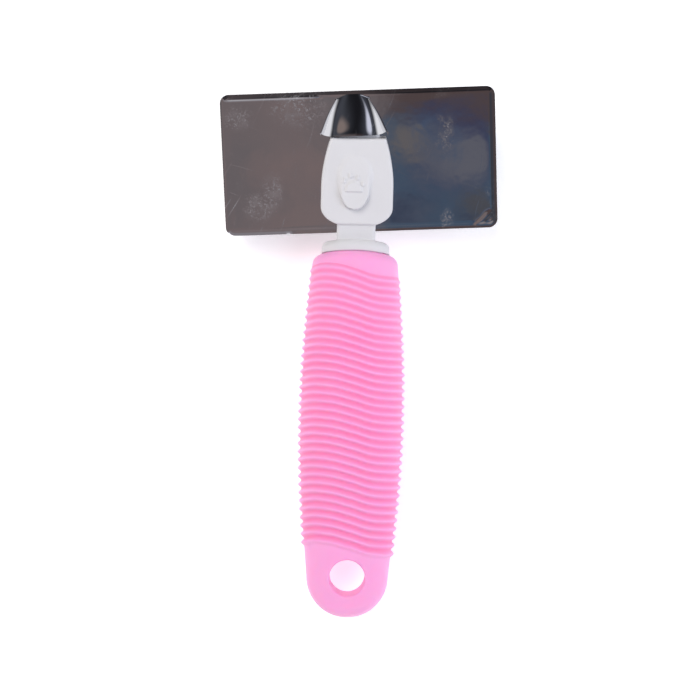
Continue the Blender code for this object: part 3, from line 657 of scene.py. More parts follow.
def hood_rise(head, along, u):
    """Height of the hood's steel over the back face, at a share u of its half width."""
    along += 0.13 * u**4 * along**2
    if along < 0.0 or along >= 1.0 or abs(u) >= 1.0:
        return 0.0
    crest = 1.0 - along**1.6
    side = math.sqrt(1.0 - abs(u) ** 6) * (1.0 - 0.17 * u**2)
    return head.hood_height * crest * side


def plate_waves(head, x, y):
    """The slow unevenness of pressed sheet steel, with creases at one corner and softly rolled edges."""
    slow = noise.noise(Vector((x * 34.0, y * 46.0, 3.7))) * 0.000030
    slow += noise.noise(Vector((x * 85.0, y * 90.0, 9.1))) * 0.000007
    edge = min(head.width / 2 - abs(x), head.length / 2 - abs(y))
    calm = smoothstep(0.0005, 0.004, edge)
    creases = 0.0
    for start_x, start_y, tall, wide, long in CREASES:
        from_x, from_y = x - (head.width / 2 - start_x), y - (start_y - head.length / 2)
        along = from_x * 0.84 + from_y * 0.54
        beside = -from_x * 0.54 + from_y * 0.84 + 0.0004 * math.sin(along * 700.0)
        ends = smoothstep(-0.002, 0.003, along) * (1.0 - smoothstep(0.6 * long, long, along))
        creases += tall * math.exp(-((beside / wide) ** 2)) * ends
    half_x, half_y = head.width / 2 - head.fold, head.length / 2 - head.fold
    roll = -0.00007 * max(1.0 - (half_y - y) / 0.0009, 0.0) ** 2 * smoothstep(-0.025, 0.020, x)
    roll -= 0.00003 * max(1.0 - (half_x - x) / 0.0008, 0.0) ** 2
    roll -= 0.00003 * max(1.0 - (half_y + y) / 0.0014, 0.0) ** 2
    return slow * calm + creases + roll


def far_ridge(head, x, y):
    """A fine ridge along the far fold, which fades out toward the hood."""
    from_edge = head.length / 2 - head.fold - y
    ridge = math.exp(-(((from_edge - 0.00045) / 0.00038) ** 2))
    ends = (1.0 - smoothstep(-0.020, -0.010, x)) * smoothstep(-head.width / 2, -head.width / 2 + 0.003, x)
    return 0.00016 * ridge * ends


def tray_shape(head):
    """The tray as one open sheet: back face with its hood, fold, walls and lip."""
    half_x = head.width / 2 - head.fold
    half_y = head.length / 2 - head.fold
    radius = head.corner - head.fold
    mouth = head.length / 2 - head.hood_margin - head.hood_length
    close = mouth + head.hood_length
    corner_steps, columns_side, columns_hood = 4, 44, 44
    corner = [i / corner_steps for i in range(corner_steps + 1)]
    rear_rows = spaced([-half_y + radius, mouth], 0.0006)
    hood_steps = 26
    hood_rows = [
        mouth + head.hood_length * math.sin(i / hood_steps * math.pi / 2) for i in range(1, hood_steps + 1)
    ]
    rows = [-half_y + radius * share for share in corner[:-1]] + rear_rows + hood_rows
    far = half_y - radius
    rows += [close + (far - close) * (i + 1) / 2 for i in range(2)] if far > close + 10 * SAME_PLACE else []
    start = max(rows[-1], far)
    rows = [row for row in rows if row < start - SAME_PLACE]
    rows += [start + (half_y - start) * share for share in corner]
    mouth_row = min(range(len(rows)), key=lambda index: abs(rows[index] - mouth))
    total = corner_steps + columns_side + columns_hood + columns_side + corner_steps

    def column_x(index, along):
        half = hood_half_width(head, along)
        left, right = head.hood_shift - half, head.hood_shift + half
        if index <= corner_steps:
            return -half_x + radius * index / corner_steps
        if index <= corner_steps + columns_side:
            share = (index - corner_steps) / columns_side
            return -half_x + radius + (left + half_x - radius) * share
        if index <= corner_steps + columns_side + columns_hood:
            share = (index - corner_steps - columns_side) / columns_hood
            return head.hood_shift - half * math.cos(share * math.pi)
        if index <= total - corner_steps:
            share = (index - corner_steps - columns_side - columns_hood) / columns_side
            return right + (half_x - radius - right) * share
        return half_x - radius + radius * (index - total + corner_steps) / corner_steps

    shape = bmesh.new()
    first_hood, last_hood = corner_steps + columns_side, corner_steps + columns_side + columns_hood
    low, high = [], []
    # Along the hood's mouth each column has two points, so that the mouth stands open.
    for index, y in enumerate(rows):
        along = (y - mouth) / head.hood_length
        low_row, high_row = [], []
        for column in range(total + 1):
            x = column_x(column, along)
            px, py = round_corner(x, y, half_x, half_y, radius)
            ground = plate_waves(head, px, py) + far_ridge(head, px, py)
            rise = 0.0
            if first_hood < column < last_hood and index >= mouth_row:
                share = min(max(along, 0.0), 1.0)
                u = (x - head.hood_shift) / hood_half_width(head, along)
                rise = hood_rise(head, share, u)
                py += head.hood_corner * abs(u) ** 7 * (1.0 - share) ** 4
            vertex = shape.verts.new((px, py, ground if index == mouth_row else ground + rise))
            low_row.append(vertex)
            lifted = index == mouth_row and first_hood < column < last_hood
            high_row.append(shape.verts.new((px, py, ground + rise)) if lifted else vertex)
        low.append(low_row)
        high.append(high_row)
    for index in range(len(rows) - 1):
        near, far_side = high[index], low[index + 1]
        for column in range(total):
            corners = (near[column], near[column + 1], far_side[column + 1], far_side[column])
            shape.faces.new(corners)

    rim = low[0][:-1] + [row[-1] for row in low[:-1]] + low[-1][:0:-1] + [row[0] for row in low[:0:-1]]
    add_walls(shape, head, rim)
    return shape


def wall_path(head):
    """The fold, wall, roll and lip as (inset from the outside, depth below the back face)."""
    fold_steps, roll_steps, roll = 8, 4, 0.0008
    path = []
    for step in range(1, fold_steps + 1):
        turn = step / fold_steps * math.pi / 2
        path.append((head.fold * (1 - math.sin(turn)), head.fold * (1 - math.cos(turn))))
    path += [(0.0, head.fold + (head.depth - roll - head.fold) * share) for share in (0.25, 0.5, 0.75, 1.0)]
    for step in range(1, roll_steps + 1):
        turn = step / roll_steps * math.pi / 2
        path.append((roll * (1 - math.cos(turn)), head.depth - roll * (1 - math.sin(turn))))
    path.append((head.lip, head.depth))
    return path


def add_walls(shape, head, rim):
    """Folds walls down from the rim of the back face. Steel gathers at the corners, and the lip turns in.

    The fold is drawn in again at each point of a ring, on top of what the points before it drew in. So
    it is round only at the rear left corner, where the rings start, and sharp everywhere else.
    """
    half_x = head.width / 2 - head.fold
    half_y = head.length / 2 - head.fold
    radius = head.corner - head.fold
    places = [vertex.co.copy() for vertex in rim]
    ways = [outward_of(place.x, place.y, half_x, half_y, radius) for place in places]
    previous = rim
    for inset, depth in wall_path(head):
        ring = []
        for place, way in zip(places, ways):
            at_corner = (2 * way.x * way.y) ** 2
            gather = at_corner * smoothstep(0.0003, 0.0022, depth) * (1 - smoothstep(0.0, head.lip, inset))
            pleat = 0.75 + 0.25 * math.cos(14.0 * math.atan2(abs(way.y), abs(way.x)) + 1.3)
            open_fold = 0.62 * max(way.y, 0.0) ** 2 + 0.35 * max(-way.y, 0.0) ** 2
            tight = 0.38 + open_fold * (1.0 - smoothstep(head.fold, 2 * head.fold, depth))
            if depth <= head.fold + SAME_PLACE:
                inset, depth = inset * tight, depth * tight
            out = head.fold - inset + head.nub * gather * pleat
            z = place.z * (1 - smoothstep(0, head.fold, depth)) - depth
            ring.append(shape.verts.new((place.x + way.x * out, place.y + way.y * out, z)))
        for i in range(len(ring)):
            j = (i + 1) % len(ring)
            shape.faces.new((previous[i], ring[i], ring[j], previous[j]))
        previous = ring


class BRUSH_OT_tray(Operator):
    """Press the chromed tray with its hood, folded walls and lip"""

    bl_idname = "brush.tray"
    bl_label = "Chromed tray"

    def execute(self, context):
        head = context.scene.brush_head
        shape = tray_shape(head)
        shape.normal_update()
        if sum(face.normal.z * face.calc_area() for face in shape.faces) < 0:
            bmesh.ops.reverse_faces(shape, faces=shape.faces)
        shape.transform(head_place(head))
        mesh = bpy.data.meshes.new("chromed_tray")
        shape.to_mesh(mesh)
        shape.free()
        mesh.shade_smooth()
        tray = bpy.data.objects.new("chromed_tray", mesh)
        context.scene.collection.objects.link(tray)
        thicken = tray.modifiers.new("sheet", "SOLIDIFY")
        thicken.thickness = head.sheet
        thicken.offset = -1.0
        settle(tray)
        tray.data.set_sharp_from_angle(angle=math.radians(50.0))
        tray.data.materials.append(chrome_finish(context.scene.brush_finishes))
        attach(tray, "brush_body")
        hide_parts("head_shell")
        return {"FINISHED"}


# ---------------------------------------------------------------------------------------- pin pad


def rounded_slab(head, inset, back, face, step, dimples=None):
    """A closed slab with the tray's outline, between two depths below the back face."""
    half_x, half_y = head.width / 2 - inset, head.length / 2 - inset
    radius = max(head.corner - inset, 0.0012)
    columns = spaced([-half_x, -half_x + radius, half_x - radius, half_x], step)
    rows = spaced([-half_y, -half_y + radius, half_y - radius, half_y], step)
    shape = bmesh.new()
    sides = []
    for depth, dimpled in ((back, False), (face, dimples is not None)):
        grid = []
        for y in rows:
            line = []
            for x in columns:
                px, py = round_corner(x, y, half_x, half_y, radius)
                dimple = dimples(px, py) if dimpled else 0.0
                line.append(shape.verts.new((px, py, dimple - depth)))
            grid.append(line)
        sides.append(grid)
        for low, high in zip(grid, grid[1:]):
            for i in range(len(columns) - 1):
                shape.faces.new((low[i], low[i + 1], high[i + 1], high[i]))
    rims = [
        grid[0][:-1] + [row[-1] for row in grid[:-1]] + grid[-1][:0:-1] + [row[0] for row in grid[:0:-1]]
        for grid in sides
    ]
    for i in range(len(rims[0])):
        j = (i + 1) % len(rims[0])
        shape.faces.new((rims[0][i], rims[0][j], rims[1][j], rims[1][i]))
    return shape


def pin_pitch(head):
    """From one pin of a row to the next."""
    return (head.width - 2 * head.side_margin) / (head.pins - 1)


def row_station(head, row):
    """Where a row of pins stands along the tray, from its middle."""
    pitch = (head.length - head.rear_margin - head.far_margin) / (head.rows - 1)
    return head.rear_margin - head.length / 2 + row * pitch


def fillet_depths(head):
    """Depths of the fillet's back and face below the back face of the tray."""
    face = head.depth - head.sheet - CLEARANCE
    return face - head.fillet, face


def pin_comb_tree():
    """Geometry Nodes: one bent pin, repeated along a crown wire."""
    tree = tree_with(
        "bent pin comb",
        [
            ("Pins", "Int", 18),
            ("Pitch", "Float", 0.0046),
            ("Wire", "Float", 0.0005),
            ("Crown Depth", "Float", 0.0052),
            ("Bend Depth", "Float", 0.0127),
            ("Tip Depth", "Float", 0.0182),
            ("Hook Slope", "Float", 0.5),
            ("Station", "Float", 0.0),
            ("Steel", "Material", None),
        ],
    )
    desk = NodeDesk(tree)
    given = desk.add("NodeGroupInput").outputs
    half = desk.math("MULTIPLY", given["Wire"], 0.5)
    round_wire = desk.add("GeometryNodeCurvePrimitiveCircle", {"Resolution": 6, "Radius": half}, mode="RADIUS")

    root = desk.add("ShaderNodeCombineXYZ", {"Z": desk.math("MULTIPLY", given["Crown Depth"], -1.0)})
    tip = desk.add("ShaderNodeCombineXYZ", {"Z": desk.math("MULTIPLY", given["Tip Depth"], -1.0)})
    line = desk.add("GeometryNodeCurvePrimitiveLine", {"Start": root.outputs[0], "End": tip.outputs[0]})
    steps = desk.add("GeometryNodeResampleCurve", {"Curve": line.outputs[0], "Count": 8})
    at = desk.add("ShaderNodeSeparateXYZ", {"Vector": desk.add("GeometryNodeInputPosition").outputs[0]})
    depth = desk.math("MULTIPLY", at.outputs["Z"], -1.0)
    past = desk.math("SMOOTH_MAX", desk.math("SUBTRACT", depth, given["Bend Depth"]), 0.0, 0.0012)
    back = desk.math("MULTIPLY", desk.math("MULTIPLY", past, given["Hook Slope"]), -1.0)
    shift = desk.add("ShaderNodeCombineXYZ", {"Y": back})
    bent = desk.add("GeometryNodeSetPosition", {"Geometry": steps.outputs[0], "Offset": shift.outputs[0]})
    along = desk.add("GeometryNodeSplineParameter").outputs["Factor"]
    taper = desk.range(along, 0.93, 1.0, 1.0, 0.72)
    drawn = desk.add("GeometryNodeSetCurveRadius", {"Curve": bent.outputs[0], "Radius": taper})
    pin = desk.add(
        "GeometryNodeCurveToMesh",
        {"Curve": drawn.outputs[0], "Profile Curve": round_wire.outputs[0], "Fill Caps": True},
    )

    gaps = desk.math("SUBTRACT", given["Pins"], 1.0)
    reach = desk.math("MULTIPLY", desk.math("MULTIPLY", gaps, given["Pitch"]), 0.5)
    low = desk.add("ShaderNodeCombineXYZ", {"X": desk.math("MULTIPLY", reach, -1.0), "Y": given["Station"]})
    stride = desk.add("ShaderNodeCombineXYZ", {"X": given["Pitch"]})
    places = desk.add(
        "GeometryNodeMeshLine",
        {"Count": given["Pins"], "Start Location": low.outputs[0], "Offset": stride.outputs[0]},
    )
    pins = desk.add("GeometryNodeInstanceOnPoints", {"Points": places.outputs[0], "Instance": pin.outputs[0]})

    depth_down = desk.math("MULTIPLY", given["Crown Depth"], -1.0)
    left = desk.add(
        "ShaderNodeCombineXYZ",
        {"X": desk.math("MULTIPLY", reach, -1.0), "Y": given["Station"], "Z": depth_down},
    )
    right = desk.add("ShaderNodeCombineXYZ", {"X": reach, "Y": given["Station"], "Z": depth_down})
    crown = desk.add("GeometryNodeCurvePrimitiveLine", {"Start": left.outputs[0], "End": right.outputs[0]})
    bar = desk.add(
        "GeometryNodeCurveToMesh",
        {"Curve": crown.outputs[0], "Profile Curve": round_wire.outputs[0], "Fill Caps": True},
    )
    joined = desk.add("GeometryNodeJoinGeometry")
    tree.links.new(pins.outputs[0], joined.inputs[0])
    tree.links.new(bar.outputs[0], joined.inputs[0])
    real = desk.add("GeometryNodeRealizeInstances", {"Geometry": joined.outputs[0]})
    smooth = desk.add("GeometryNodeSetShadeSmooth", {"Geometry": real.outputs[0]})
    steel = desk.add("GeometryNodeSetMaterial", {"Geometry": smooth.outputs[0], "Material": given["Steel"]})
    finish = desk.add("NodeGroupOutput")
    tree.links.new(steel.outputs[0], finish.inputs[0])
    return tree


class BRUSH_OT_pins(Operator):
    """Bend the rows of wire pins and stand them in the fillet"""

    bl_idname = "brush.pins"
    bl_label = "Rows of pins"

    def execute(self, context):
        head = context.scene.brush_head
        tree = pin_comb_tree()
        steel = wire_finish("drawn_pin_steel", context.scene.brush_finishes.steel, 0.16, 0.34, 700.0)
        back, face = fillet_depths(head)
        bend = face + head.pin_straight
        for row in range(head.rows):
            name = f"bent_pins_{row + 1:02d}"
            comb = new_piece(name, bmesh.new())
            values = {
                "Pins": head.pins - row % 2,
                "Pitch": pin_pitch(head),
                "Wire": head.wire,
                "Crown Depth": back - CLEARANCE - head.wire / 2,
                "Bend Depth": bend,
                "Tip Depth": bend + head.pin_hooked * math.cos(head.pin_hook),
                "Hook Slope": math.tan(head.pin_hook),
                "Station": row_station(head, row),
                "Steel": steel,
            }
            add_nodes(comb, tree, values)
            settle(comb)
            comb.data.transform(head_place(head))
            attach(comb, "pin_pad")
            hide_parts(f"pin_row_{row + 1:02d}")
        return {"FINISHED"}


class BRUSH_OT_fillet(Operator):
    """Stretch the woven rubber cloth that the pins stand in"""

    bl_idname = "brush.fillet"
    bl_label = "Rubber-cloth fillet"

    def execute(self, context):
        head = context.scene.brush_head
        back, face = fillet_depths(head)
        inset = head.sheet + 2 * CLEARANCE
        pitch = pin_pitch(head)
        dimple_depth, dimple_reach = 0.00016, 0.0008

        def dimples(x, y):
            """How far the cloth is drawn in round the nearest wire."""
            row_gap = (row_station(head, 1) - row_station(head, 0)) if head.rows > 1 else 1.0
            row = round((y - row_station(head, 0)) / row_gap)
            if not 0 <= row < head.rows:
                return 0.0
            middle = (head.pins - row % 2 - 1) / 2
            pin = round(x / pitch + middle)
            if not 0 <= pin < head.pins - row % 2:
                return 0.0
            away = math.hypot(x - (pin - middle) * pitch, y - row_station(head, row))
            return dimple_depth * math.exp(-((away / dimple_reach) ** 2))

        shape = rounded_slab(head, inset, back, face, 0.0006, dimples=dimples)
        flat = shape.loops.layers.uv.new("weave")
        for surface in shape.faces:
            for loop in surface.loops:
                loop[flat].uv = (loop.vert.co.x, loop.vert.co.y)
        cloth = cloth_finish(context.scene.brush_finishes)
        fillet = new_piece("woven_fillet", shape, head_place(head), cloth, sharp=40.0)
        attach(fillet, "pin_pad")
        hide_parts("pin_fillet")
        return {"FINISHED"}


class BRUSH_OT_cushion(Operator):
    """Cut the foam cushion that springs under the fillet"""

    bl_idname = "brush.cushion"
    bl_label = "Foam cushion"

    def execute(self, context):
        head = context.scene.brush_head
        back, _ = fillet_depths(head)
        face = back - CLEARANCE - head.wire - CLEARANCE
        plate = head.sheet + CLEARANCE
        side_room, pocket_radius, pocket_depth = 0.0007, 0.0030, 0.0075
        shape = rounded_slab(head, head.sheet + side_room, plate, face, 0.0012)
        cushion = new_piece("soft_foam", shape, head_place(head), foam_finish(context.scene.brush_finishes))
        for number in (1, 2):
            low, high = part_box(f"neck_screw_{number}")
            middle = (low + high) / 2
            cut = bmesh.new()
            turned = Matrix.Translation(middle) @ PLATE_NORMAL.to_track_quat("Z", "Y").to_matrix().to_4x4()
            bmesh.ops.create_cone(
                cut,
                cap_ends=True,
                segments=28,
                radius1=pocket_radius,
                radius2=pocket_radius,
                depth=pocket_depth,
                matrix=turned,
            )
            pocket = new_piece(f"pocket_{number}", cut)
            change = cushion.modifiers.new("pocket", "BOOLEAN")
            change.operation, change.object = "DIFFERENCE", pocket
            settle(cushion)
            drop(pocket)
        soften = cushion.modifiers.new("cut edges", "BEVEL")
        soften.width, soften.segments = 0.0003, 2
        soften.limit_method, soften.angle_limit = "ANGLE", math.radians(50.0)
        settle(cushion)
        cushion.data.shade_smooth()
        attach(cushion, "brush_body")
        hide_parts("foam_cushion")
        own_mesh(cushion)
        return {"FINISHED"}


class BRUSH_OT_screws(Operator):
    """Plate the screws that hold the tray on the paddle"""

    bl_idname = "brush.screws"
    bl_label = "Neck screws"

    def execute(self, context):
        zinc = wire_finish("zinc_plate", context.scene.brush_finishes.zinc, 0.28, 0.48, 900.0)
        for number in (1, 2):
            screw = frame["nodes"][f"neck_screw_{number}"]
            screw.data.materials.clear()
            screw.data.materials.append(zinc)
        return {"FINISHED"}


# ---------------------------------------------------------------------------------------- moulding


def rounded_outline(half_x, half_y, radius, steps):
    """A rectangle with round corners, as points counter-clockwise."""
    points = []
    for corner in range(4):
        side_x = 1.0 if corner in (0, 3) else -1.0
        side_y = 1.0 if corner in (0, 1) else -1.0
        for step in range(steps + 1):
            turn = (corner + step / steps) * math.pi / 2
            points.append((side_x * (half_x - radius) + radius * math.cos(turn),
                           side_y * (half_y - radius) + radius * math.sin(turn)))
    return points


def paddle_outline(parts, mouth, yaw):
    """Half of the paddle's outline as (half width, distance from the tray's rear edge)."""
    end = mouth - CLEARANCE - parts.paddle_top_half_width * math.sin(yaw)
    spread = parts.paddle_half_width - parts.shank_half_width
    cut, steps = parts.shoulder_cut, 18
    points = []
    for step in range(steps + 1):
        turn = cut + step / steps * (math.pi / 2 - cut)
        half = parts.shank_half_width + spread * (math.sin(turn) - math.sin(cut)) / (1 - math.sin(cut))
        rise = 1 - math.cos(turn) / math.cos(cut)
        points.append((half, parts.paddle_start + (parts.shoulder - parts.paddle_start) * rise))
    for step in range(steps + 1):
        share = step / steps
        taper = (parts.paddle_half_width - parts.paddle_top_half_width) * share**1.8
        points.append((parts.paddle_half_width - taper, parts.waist + (end - parts.waist) * share))
    return points


def add_paddle(shape, parts, mouth, yaw):
    """The flat paddle on the back face, with its upper edge rounded."""
    right = paddle_outline(parts, mouth, yaw)
    outline = right + [(-x, y) for x, y in reversed(right)]
    middle = sum(y for _, y in outline) / len(outline)
    top = CLEARANCE + parts.paddle_thickness
    rings = []
    levels = [(0.0, CLEARANCE)]
    edge_steps = 4
    for step in range(edge_steps + 1):
        turn = step / edge_steps * math.pi / 2
        levels.append((parts.edge * (1 - math.cos(turn)), top - parts.edge * (1 - math.sin(turn))))
    for inset, height in levels:
        shrink_x = 1.0 - inset / parts.paddle_half_width
        shrink_y = 1.0 - inset / (mouth / 2)
        rings.append([(x * shrink_x, middle + (y - middle) * shrink_y, height) for x, y in outline])
    skin(shape, rings)


def add_tongue(shape, parts, mouth):
    """The tongue that runs from inside the paddle to under the hood, narrower and thinner to its tip."""
    rings = []
    root = 0.006
    for along, width, height in ((0.0, 1.0, 1.02), (0.45, 0.88, 0.94), (1.0, 0.46, 0.50)):
        y = mouth - root + along * (root + parts.tongue_length)
        half = parts.tongue_half_width * width
        low, high, edge = 2 * CLEARANCE, CLEARANCE + parts.tongue_thickness * height, 0.0010
        section = ((half, low), (half, high - edge), (half - edge, high))
        rings.append([(x, y, z) for x, z in section] + [(-x, y, z) for x, z in reversed(section)])
    skin(shape, rings)


def oval(half_x, half_z, y, axis_z, sides=72, power=2.6):
    """A ring round the handle's axis, a little squarer than an ellipse."""
    points = []
    for i in range(sides):
        turn = 2 * math.pi * i / sides
        x = half_x * math.copysign(abs(math.sin(turn)) ** (2 / power), math.sin(turn))
        z = half_z * math.copysign(abs(math.cos(turn)) ** (2 / power), math.cos(turn))
        points.append((x, y, axis_z + z))
    return points


def add_collar(shape, parts, grip, to_neck):
    """The collar in front of the rubber, bowed like the rubber's front edge."""
    back = grip.front + 0.00005
    rounding, steps = 0.0024, 8
    rings = [oval(parts.collar_half_width, parts.collar_half_depth, back, grip.axis_z)]
    for step in range(steps + 1):
        turn = step / steps * math.radians(80.0)
        inset = rounding * (1.0 - math.cos(turn))
        y = back + parts.collar_length - rounding * (1.0 - math.sin(turn))
        half_x, half_z = parts.collar_half_width - inset, parts.collar_half_depth - inset
        rings.append(oval(half_x, half_z, y, grip.axis_z))
    bowed = []
    for ring in rings:
        bow = grip.bow if ring is rings[0] else 0.6 * grip.bow
        bowed.append([Vector((x, y - bow * (x / parts.collar_half_width) ** 2, z)) for x, y, z in ring])
    skin(shape, [[to_neck @ point for point in ring] for ring in bowed])


def add_shank(shape, parts, head, grip, to_neck):
    """The bar from the collar up onto the paddle, over the tray's rear edge."""
    gap, knee = CLEARANCE, 0.0068
    tilt = math.atan2(-PLATE_NORMAL.y, PLATE_NORMAL.z)
    rear_y = head.rear_y - TAIL_TIP_Y
    top_at_knee = head.rear_z + (gap + parts.paddle_thickness) * math.cos(tilt) + knee * math.tan(tilt)
    start_y = grip.front + gap + 0.3 * parts.collar_length
    lift_y = rear_y - 4 * gap
    plate_top = head.rear_z + 1.5 * gap
    rings = []
    for y in (start_y, lift_y, rear_y, rear_y + knee):
        top = top_at_knee - (rear_y + knee - y) * math.tan(parts.shank_slope) - 0.25 * gap
        low = plate_top + max(y - rear_y, 0.0) * math.tan(tilt) if y > lift_y else top - parts.shank_depth
        if y == lift_y:
            low = max(top - parts.shank_depth, plate_top - head.fold)
        half, edge = parts.shank_half_width, 0.0007
        section = ((half, low), (half, top - edge), (half - edge, top))
        ring = [(x, y, z) for x, z in section] + [(-x, y, z) for x, z in reversed(section)]
        rings.append([to_neck @ Vector(point) for point in ring])
    skin(shape, rings)


def thumb_relief(parts, x, y):
    """How proud the thumb pad and its paw are over the paddle. They sit a little to the left."""
    x += 0.0008
    s = (y - parts.pad_middle) / (parts.pad_length / 2)
    if abs(s) >= 1.0:
        return 0.0
    wide = parts.pad_half_width * (0.64 + 0.36 * smoothstep(-1.0, 0.35, s))
    reach = (abs(x) / wide) ** 2.3 + abs(s) ** (2.4 if s > 0 else 4.6)
    soft = 0.62 if s > 0 else 0.62 - 0.50 * smoothstep(0.0, 0.6, -s)
    inside = 1.0 - smoothstep(1.0 - soft, 1.0, reach)
    rise = parts.pad_height * (0.30 + 0.70 * smoothstep(0.9, -0.6, s)) * inside
    return rise + paw_relief(x, y - parts.pad_middle) * smoothstep(0.0, 0.5, inside)


def paw_relief(x, y):
    """A plain paw: four round toes over an arched pad."""
    height = 0.0
    for toe_x, toe_y, wide, tall in PAW_TOES:
        away = math.hypot((x - toe_x) / wide, (y - toe_y) / tall)
        height = max(height, 0.00065 * (1.0 - smoothstep(0.45, 1.10, away)))
    pad_x, pad_y = (x + 0.0003) / 0.0032, (y + 0.0031) / 0.0038
    arch = math.hypot(pad_x, max(pad_y, 0.0))
    floor_edge = smoothstep(-0.08, 0.02, pad_y)
    return max(height, 0.00075 * (1.0 - smoothstep(0.74, 1.0, arch)) * floor_edge)


class BRUSH_OT_moulding(Operator):
    """Mould the white tongue, paddle, thumb pad, shank, collar and core in one piece"""

    bl_idname = "brush.moulding"
    bl_label = "White moulding"

    def execute(self, context):
        scene = context.scene
        head, parts, grip = scene.brush_head, scene.brush_moulding, scene.brush_grip
        neck = neck_place(head)
        to_neck = neck.inverted() @ tail_place()
        mouth = head.length - head.hood_margin - head.hood_length
        shape = bmesh.new()
        add_paddle(shape, parts, mouth, head.yaw)
        add_tongue(shape, parts, mouth)
        add_collar(shape, parts, grip, to_neck)
        add_shank(shape, parts, head, grip, to_neck)
        moulding = new_piece("white_moulding", shape)
        melt = moulding.modifiers.new("melt", "REMESH")
        melt.mode, melt.voxel_size, melt.use_smooth_shade = "VOXEL", parts.grain, True
        ease = moulding.modifiers.new("ease", "SMOOTH")
        ease.factor, ease.iterations = 0.5, 5
        settle(moulding)
        top = CLEARANCE + parts.paddle_thickness
        for vertex in moulding.data.vertices:
            if vertex.co.z > top - 0.0004:
                vertex.co.z += thumb_relief(parts, vertex.co.x, vertex.co.y)
        moulding.data.update()

        core = bmesh.new()
        core_corner = 0.3 * grip.core_half_depth
        outline = rounded_outline(grip.core_half_width, grip.core_half_depth, core_corner, steps=6)
        ends = (grip.core_end, grip.front + CLEARANCE + 0.5 * parts.collar_length)
        skin(core, [[to_neck @ Vector((x, y, grip.axis_z + z)) for x, z in outline] for y in ends])
        bmesh.ops.recalc_face_normals(core, faces=core.faces)
        core.from_mesh(moulding.data)
        core.transform(neck)
        core.to_mesh(moulding.data)
        core.free()
        moulding.data.shade_smooth()
        moulding.data.set_sharp_from_angle(angle=math.radians(60.0))
        moulding.data.materials.clear()
        moulding.data.materials.append(white_finish(scene.brush_finishes))
        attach(moulding, "brush_body")
        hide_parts("handle_core")
        return {"FINISHED"}


# ---------------------------------------------------------------------------------------- grip


def swell(grip, y, tail, belly, neck):
    """A half size of the grip at a distance from the tail's tip."""
    if y < grip.belly:
        share = max(y - grip.tail_radius, 0.0) / (grip.belly - grip.tail_radius)
        return tail + (belly - tail) * math.sin(share * math.pi / 2)
    share = min((y - grip.belly) / (grip.front - grip.belly), 1.0)
    return neck + (belly - neck) * math.cos(share * math.pi / 2)


def grip_half_depth(grip, y):
    land_end = 1.75 * grip.tail_radius
    nose = 0.0052
    if y < nose:
        return grip.tail_half_depth * max(1.0 - (1.0 - y / nose) ** 2.4, 0.0) ** (1 / 2.4)
    if y < land_end:
        return grip.tail_half_depth
    if y < grip.belly:
        share = (y - land_end) / (grip.belly - land_end)
        rise = share * share * (3 - 2 * share) * 0.35 + math.sin(share * math.pi / 2) * 0.65
        return grip.tail_half_depth + (grip.belly_half_depth - grip.tail_half_depth) * rise
    return swell(grip, y, grip.tail_half_depth, grip.belly_half_depth, grip.neck_half_depth)


def grip_point(grip, y, turn, inset=0.0):
    """A point of the smooth grip at an angle from the top, flatter toward the tail."""
    half_x = swell(grip, y, grip.tail_radius, grip.belly_half_width, grip.neck_half_width)
    if y < grip.tail_radius:
        half_x = math.sqrt(max(grip.tail_radius**2 - (grip.tail_radius - y) ** 2, 0.0))
    past = smoothstep(1.15 * grip.tail_radius, 2.3 * grip.tail_radius, y)
    square = 0.56 + 0.30 * past
    x = math.copysign(abs(math.sin(turn)) ** (0.74 + 0.12 * past), math.sin(turn))
    z = math.copysign(abs(math.cos(turn)) ** square, math.cos(turn))
    return Vector((x * (half_x - inset), y, grip.axis_z + z * (grip_half_depth(grip, y) - inset)))


def rib_drop(grip, turn):
    """How far a rib lies toward the tail at an angle from the top. Both faces carry the same S."""
    across = math.sin(turn)
    drop = grip.rib_swing / 2 * (1.0 + math.tanh(3.0 * (across - grip.rib_middle)))
    return drop + grip.rib_edge_drop * max((-across - 0.6) / 0.4, 0.0) ** 2


def rib_place(grip, count):
    """Where a rib lies, counted from the tail. The ribs spread out toward the tail."""
    share = 1.0 - count / (grip.ribs - 1)
    stretch = grip.rib_stretch
    return grip.rib_last - (grip.rib_last - grip.rib_first) * share * (1.0 - stretch + stretch * share)


